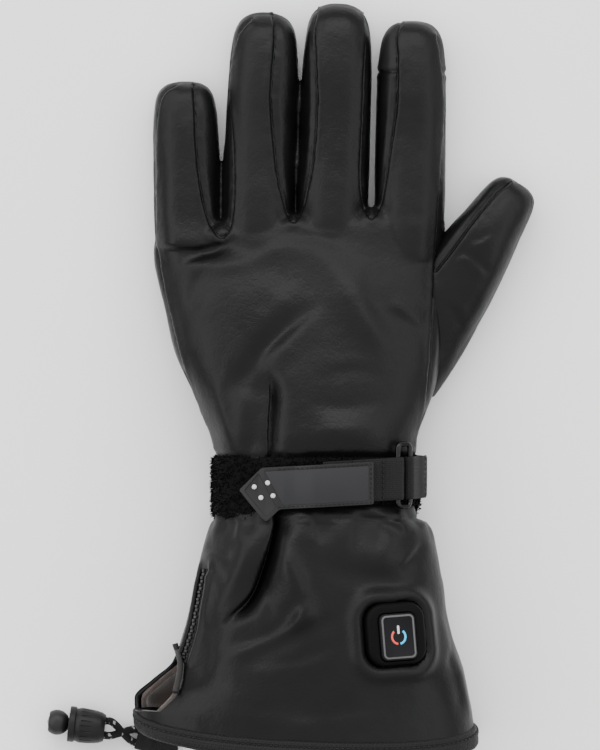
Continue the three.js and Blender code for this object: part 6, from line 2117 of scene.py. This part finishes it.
class GLOVE_OT_stage(bpy.types.Operator):
    """Sets up the camera, the floor and the lamps"""

    bl_idname = "glove.stage"
    bl_label = "Stage"

    def execute(self, context):
        studio = context.scene.glove_studio
        build_studio(studio.light_power, studio.world_strength)
        return {"FINISHED"}


class GLOVE_OT_drawcord(bpy.types.Operator):
    """Models the two strands of the hem's drawcord"""

    bl_idname = "glove.drawcord"
    bl_label = "Drawcord"

    def execute(self, context):
        build_drawcord()
        return {"FINISHED"}


class GLOVE_OT_hand(bpy.types.Operator):
    """Models the leather of the palm, the back and the four fingers"""

    bl_idname = "glove.hand"
    bl_label = "Hand"

    def execute(self, context):
        build_hand()
        return {"FINISHED"}


class GLOVE_OT_thumb(bpy.types.Operator):
    """Models the leather of the thumb"""

    bl_idname = "glove.thumb"
    bl_label = "Thumb"

    def execute(self, context):
        build_thumb()
        return {"FINISHED"}


class GLOVE_OT_cuff(bpy.types.Operator):
    """Models the gauntlet cuff and its lining"""

    bl_idname = "glove.cuff"
    bl_label = "Cuff"

    def execute(self, context):
        build_cuff()
        return {"FINISHED"}


class GLOVE_OT_hem(bpy.types.Operator):
    """Models the hem's binding, its stitches, the slit's edge and the pull loop"""

    bl_idname = "glove.hem"
    bl_label = "Hem"

    def execute(self, context):
        build_hem()
        return {"FINISHED"}


class GLOVE_OT_zip(bpy.types.Operator):
    """Models the side zip's tape and chain"""

    bl_idname = "glove.zip"
    bl_label = "Zip"

    def execute(self, context):
        build_zip()
        return {"FINISHED"}


class GLOVE_OT_control(bpy.types.Operator):
    """Models the heat control's bezel, button and mark"""

    bl_idname = "glove.control"
    bl_label = "Heat Control"

    def execute(self, context):
        build_control()
        return {"FINISHED"}


class GLOVE_OT_band(bpy.types.Operator):
    """Models the loop-pile band round the wrist"""

    bl_idname = "glove.band"
    bl_label = "Wrist Band"

    def execute(self, context):
        build_band()
        return {"FINISHED"}


class GLOVE_OT_strap(bpy.types.Operator):
    """Models the wrist strap with its ring, tab and grip nubs"""

    bl_idname = "glove.strap"
    bl_label = "Wrist Strap"

    def execute(self, context):
        build_strap()
        return {"FINISHED"}


class GLOVE_OT_lock(bpy.types.Operator):
    """Models the cord lock, its plunger and the cord's cloth channel"""

    bl_idname = "glove.lock"
    bl_label = "Cord Lock"

    def execute(self, context):
        build_lock()
        return {"FINISHED"}


OPERATORS = (
    GLOVE_OT_finishes,
    GLOVE_OT_stage,
    GLOVE_OT_lock,
    GLOVE_OT_drawcord,
    GLOVE_OT_hand,
    GLOVE_OT_thumb,
    GLOVE_OT_cuff,
    GLOVE_OT_hem,
    GLOVE_OT_zip,
    GLOVE_OT_control,
    GLOVE_OT_band,
    GLOVE_OT_strap,
)


class GLOVE_PT_panel(bpy.types.Panel):
    """Lists the glove's colours, its pieces and its stage"""

    bl_idname = "GLOVE_PT_panel"
    bl_label = "Heated Glove"
    bl_space_type = "VIEW_3D"
    bl_region_type = "UI"
    bl_category = "Glove"

    def draw(self, context):
        for group in (context.scene.glove_looks, context.scene.glove_studio):
            for prop in group.bl_rna.properties:
                if prop.identifier in group.__annotations__:
                    self.layout.prop(group, prop.identifier)
        for operator in OPERATORS:
            self.layout.operator(operator.bl_idname)


CLASSES = (GloveLooks, GloveStudio, *OPERATORS, GLOVE_PT_panel)


def register():
    for cls in CLASSES:
        bpy.utils.register_class(cls)
    bpy.types.Scene.glove_looks = bpy.props.PointerProperty(type=GloveLooks)
    bpy.types.Scene.glove_studio = bpy.props.PointerProperty(type=GloveStudio)


def unregister():
    del bpy.types.Scene.glove_studio
    del bpy.types.Scene.glove_looks
    for cls in reversed(CLASSES):
        bpy.utils.unregister_class(cls)


def main():
    register()
    bpy.ops.glove.finishes()
    bpy.ops.glove.stage()
    bpy.ops.glove.lock()
    bpy.ops.glove.drawcord()
    bpy.ops.glove.hand()
    bpy.ops.glove.thumb()
    bpy.ops.glove.cuff()
    bpy.ops.glove.hem()
    bpy.ops.glove.zip()
    bpy.ops.glove.control()
    bpy.ops.glove.band()
    bpy.ops.glove.strap()


if __name__ == "__main__":
    main()
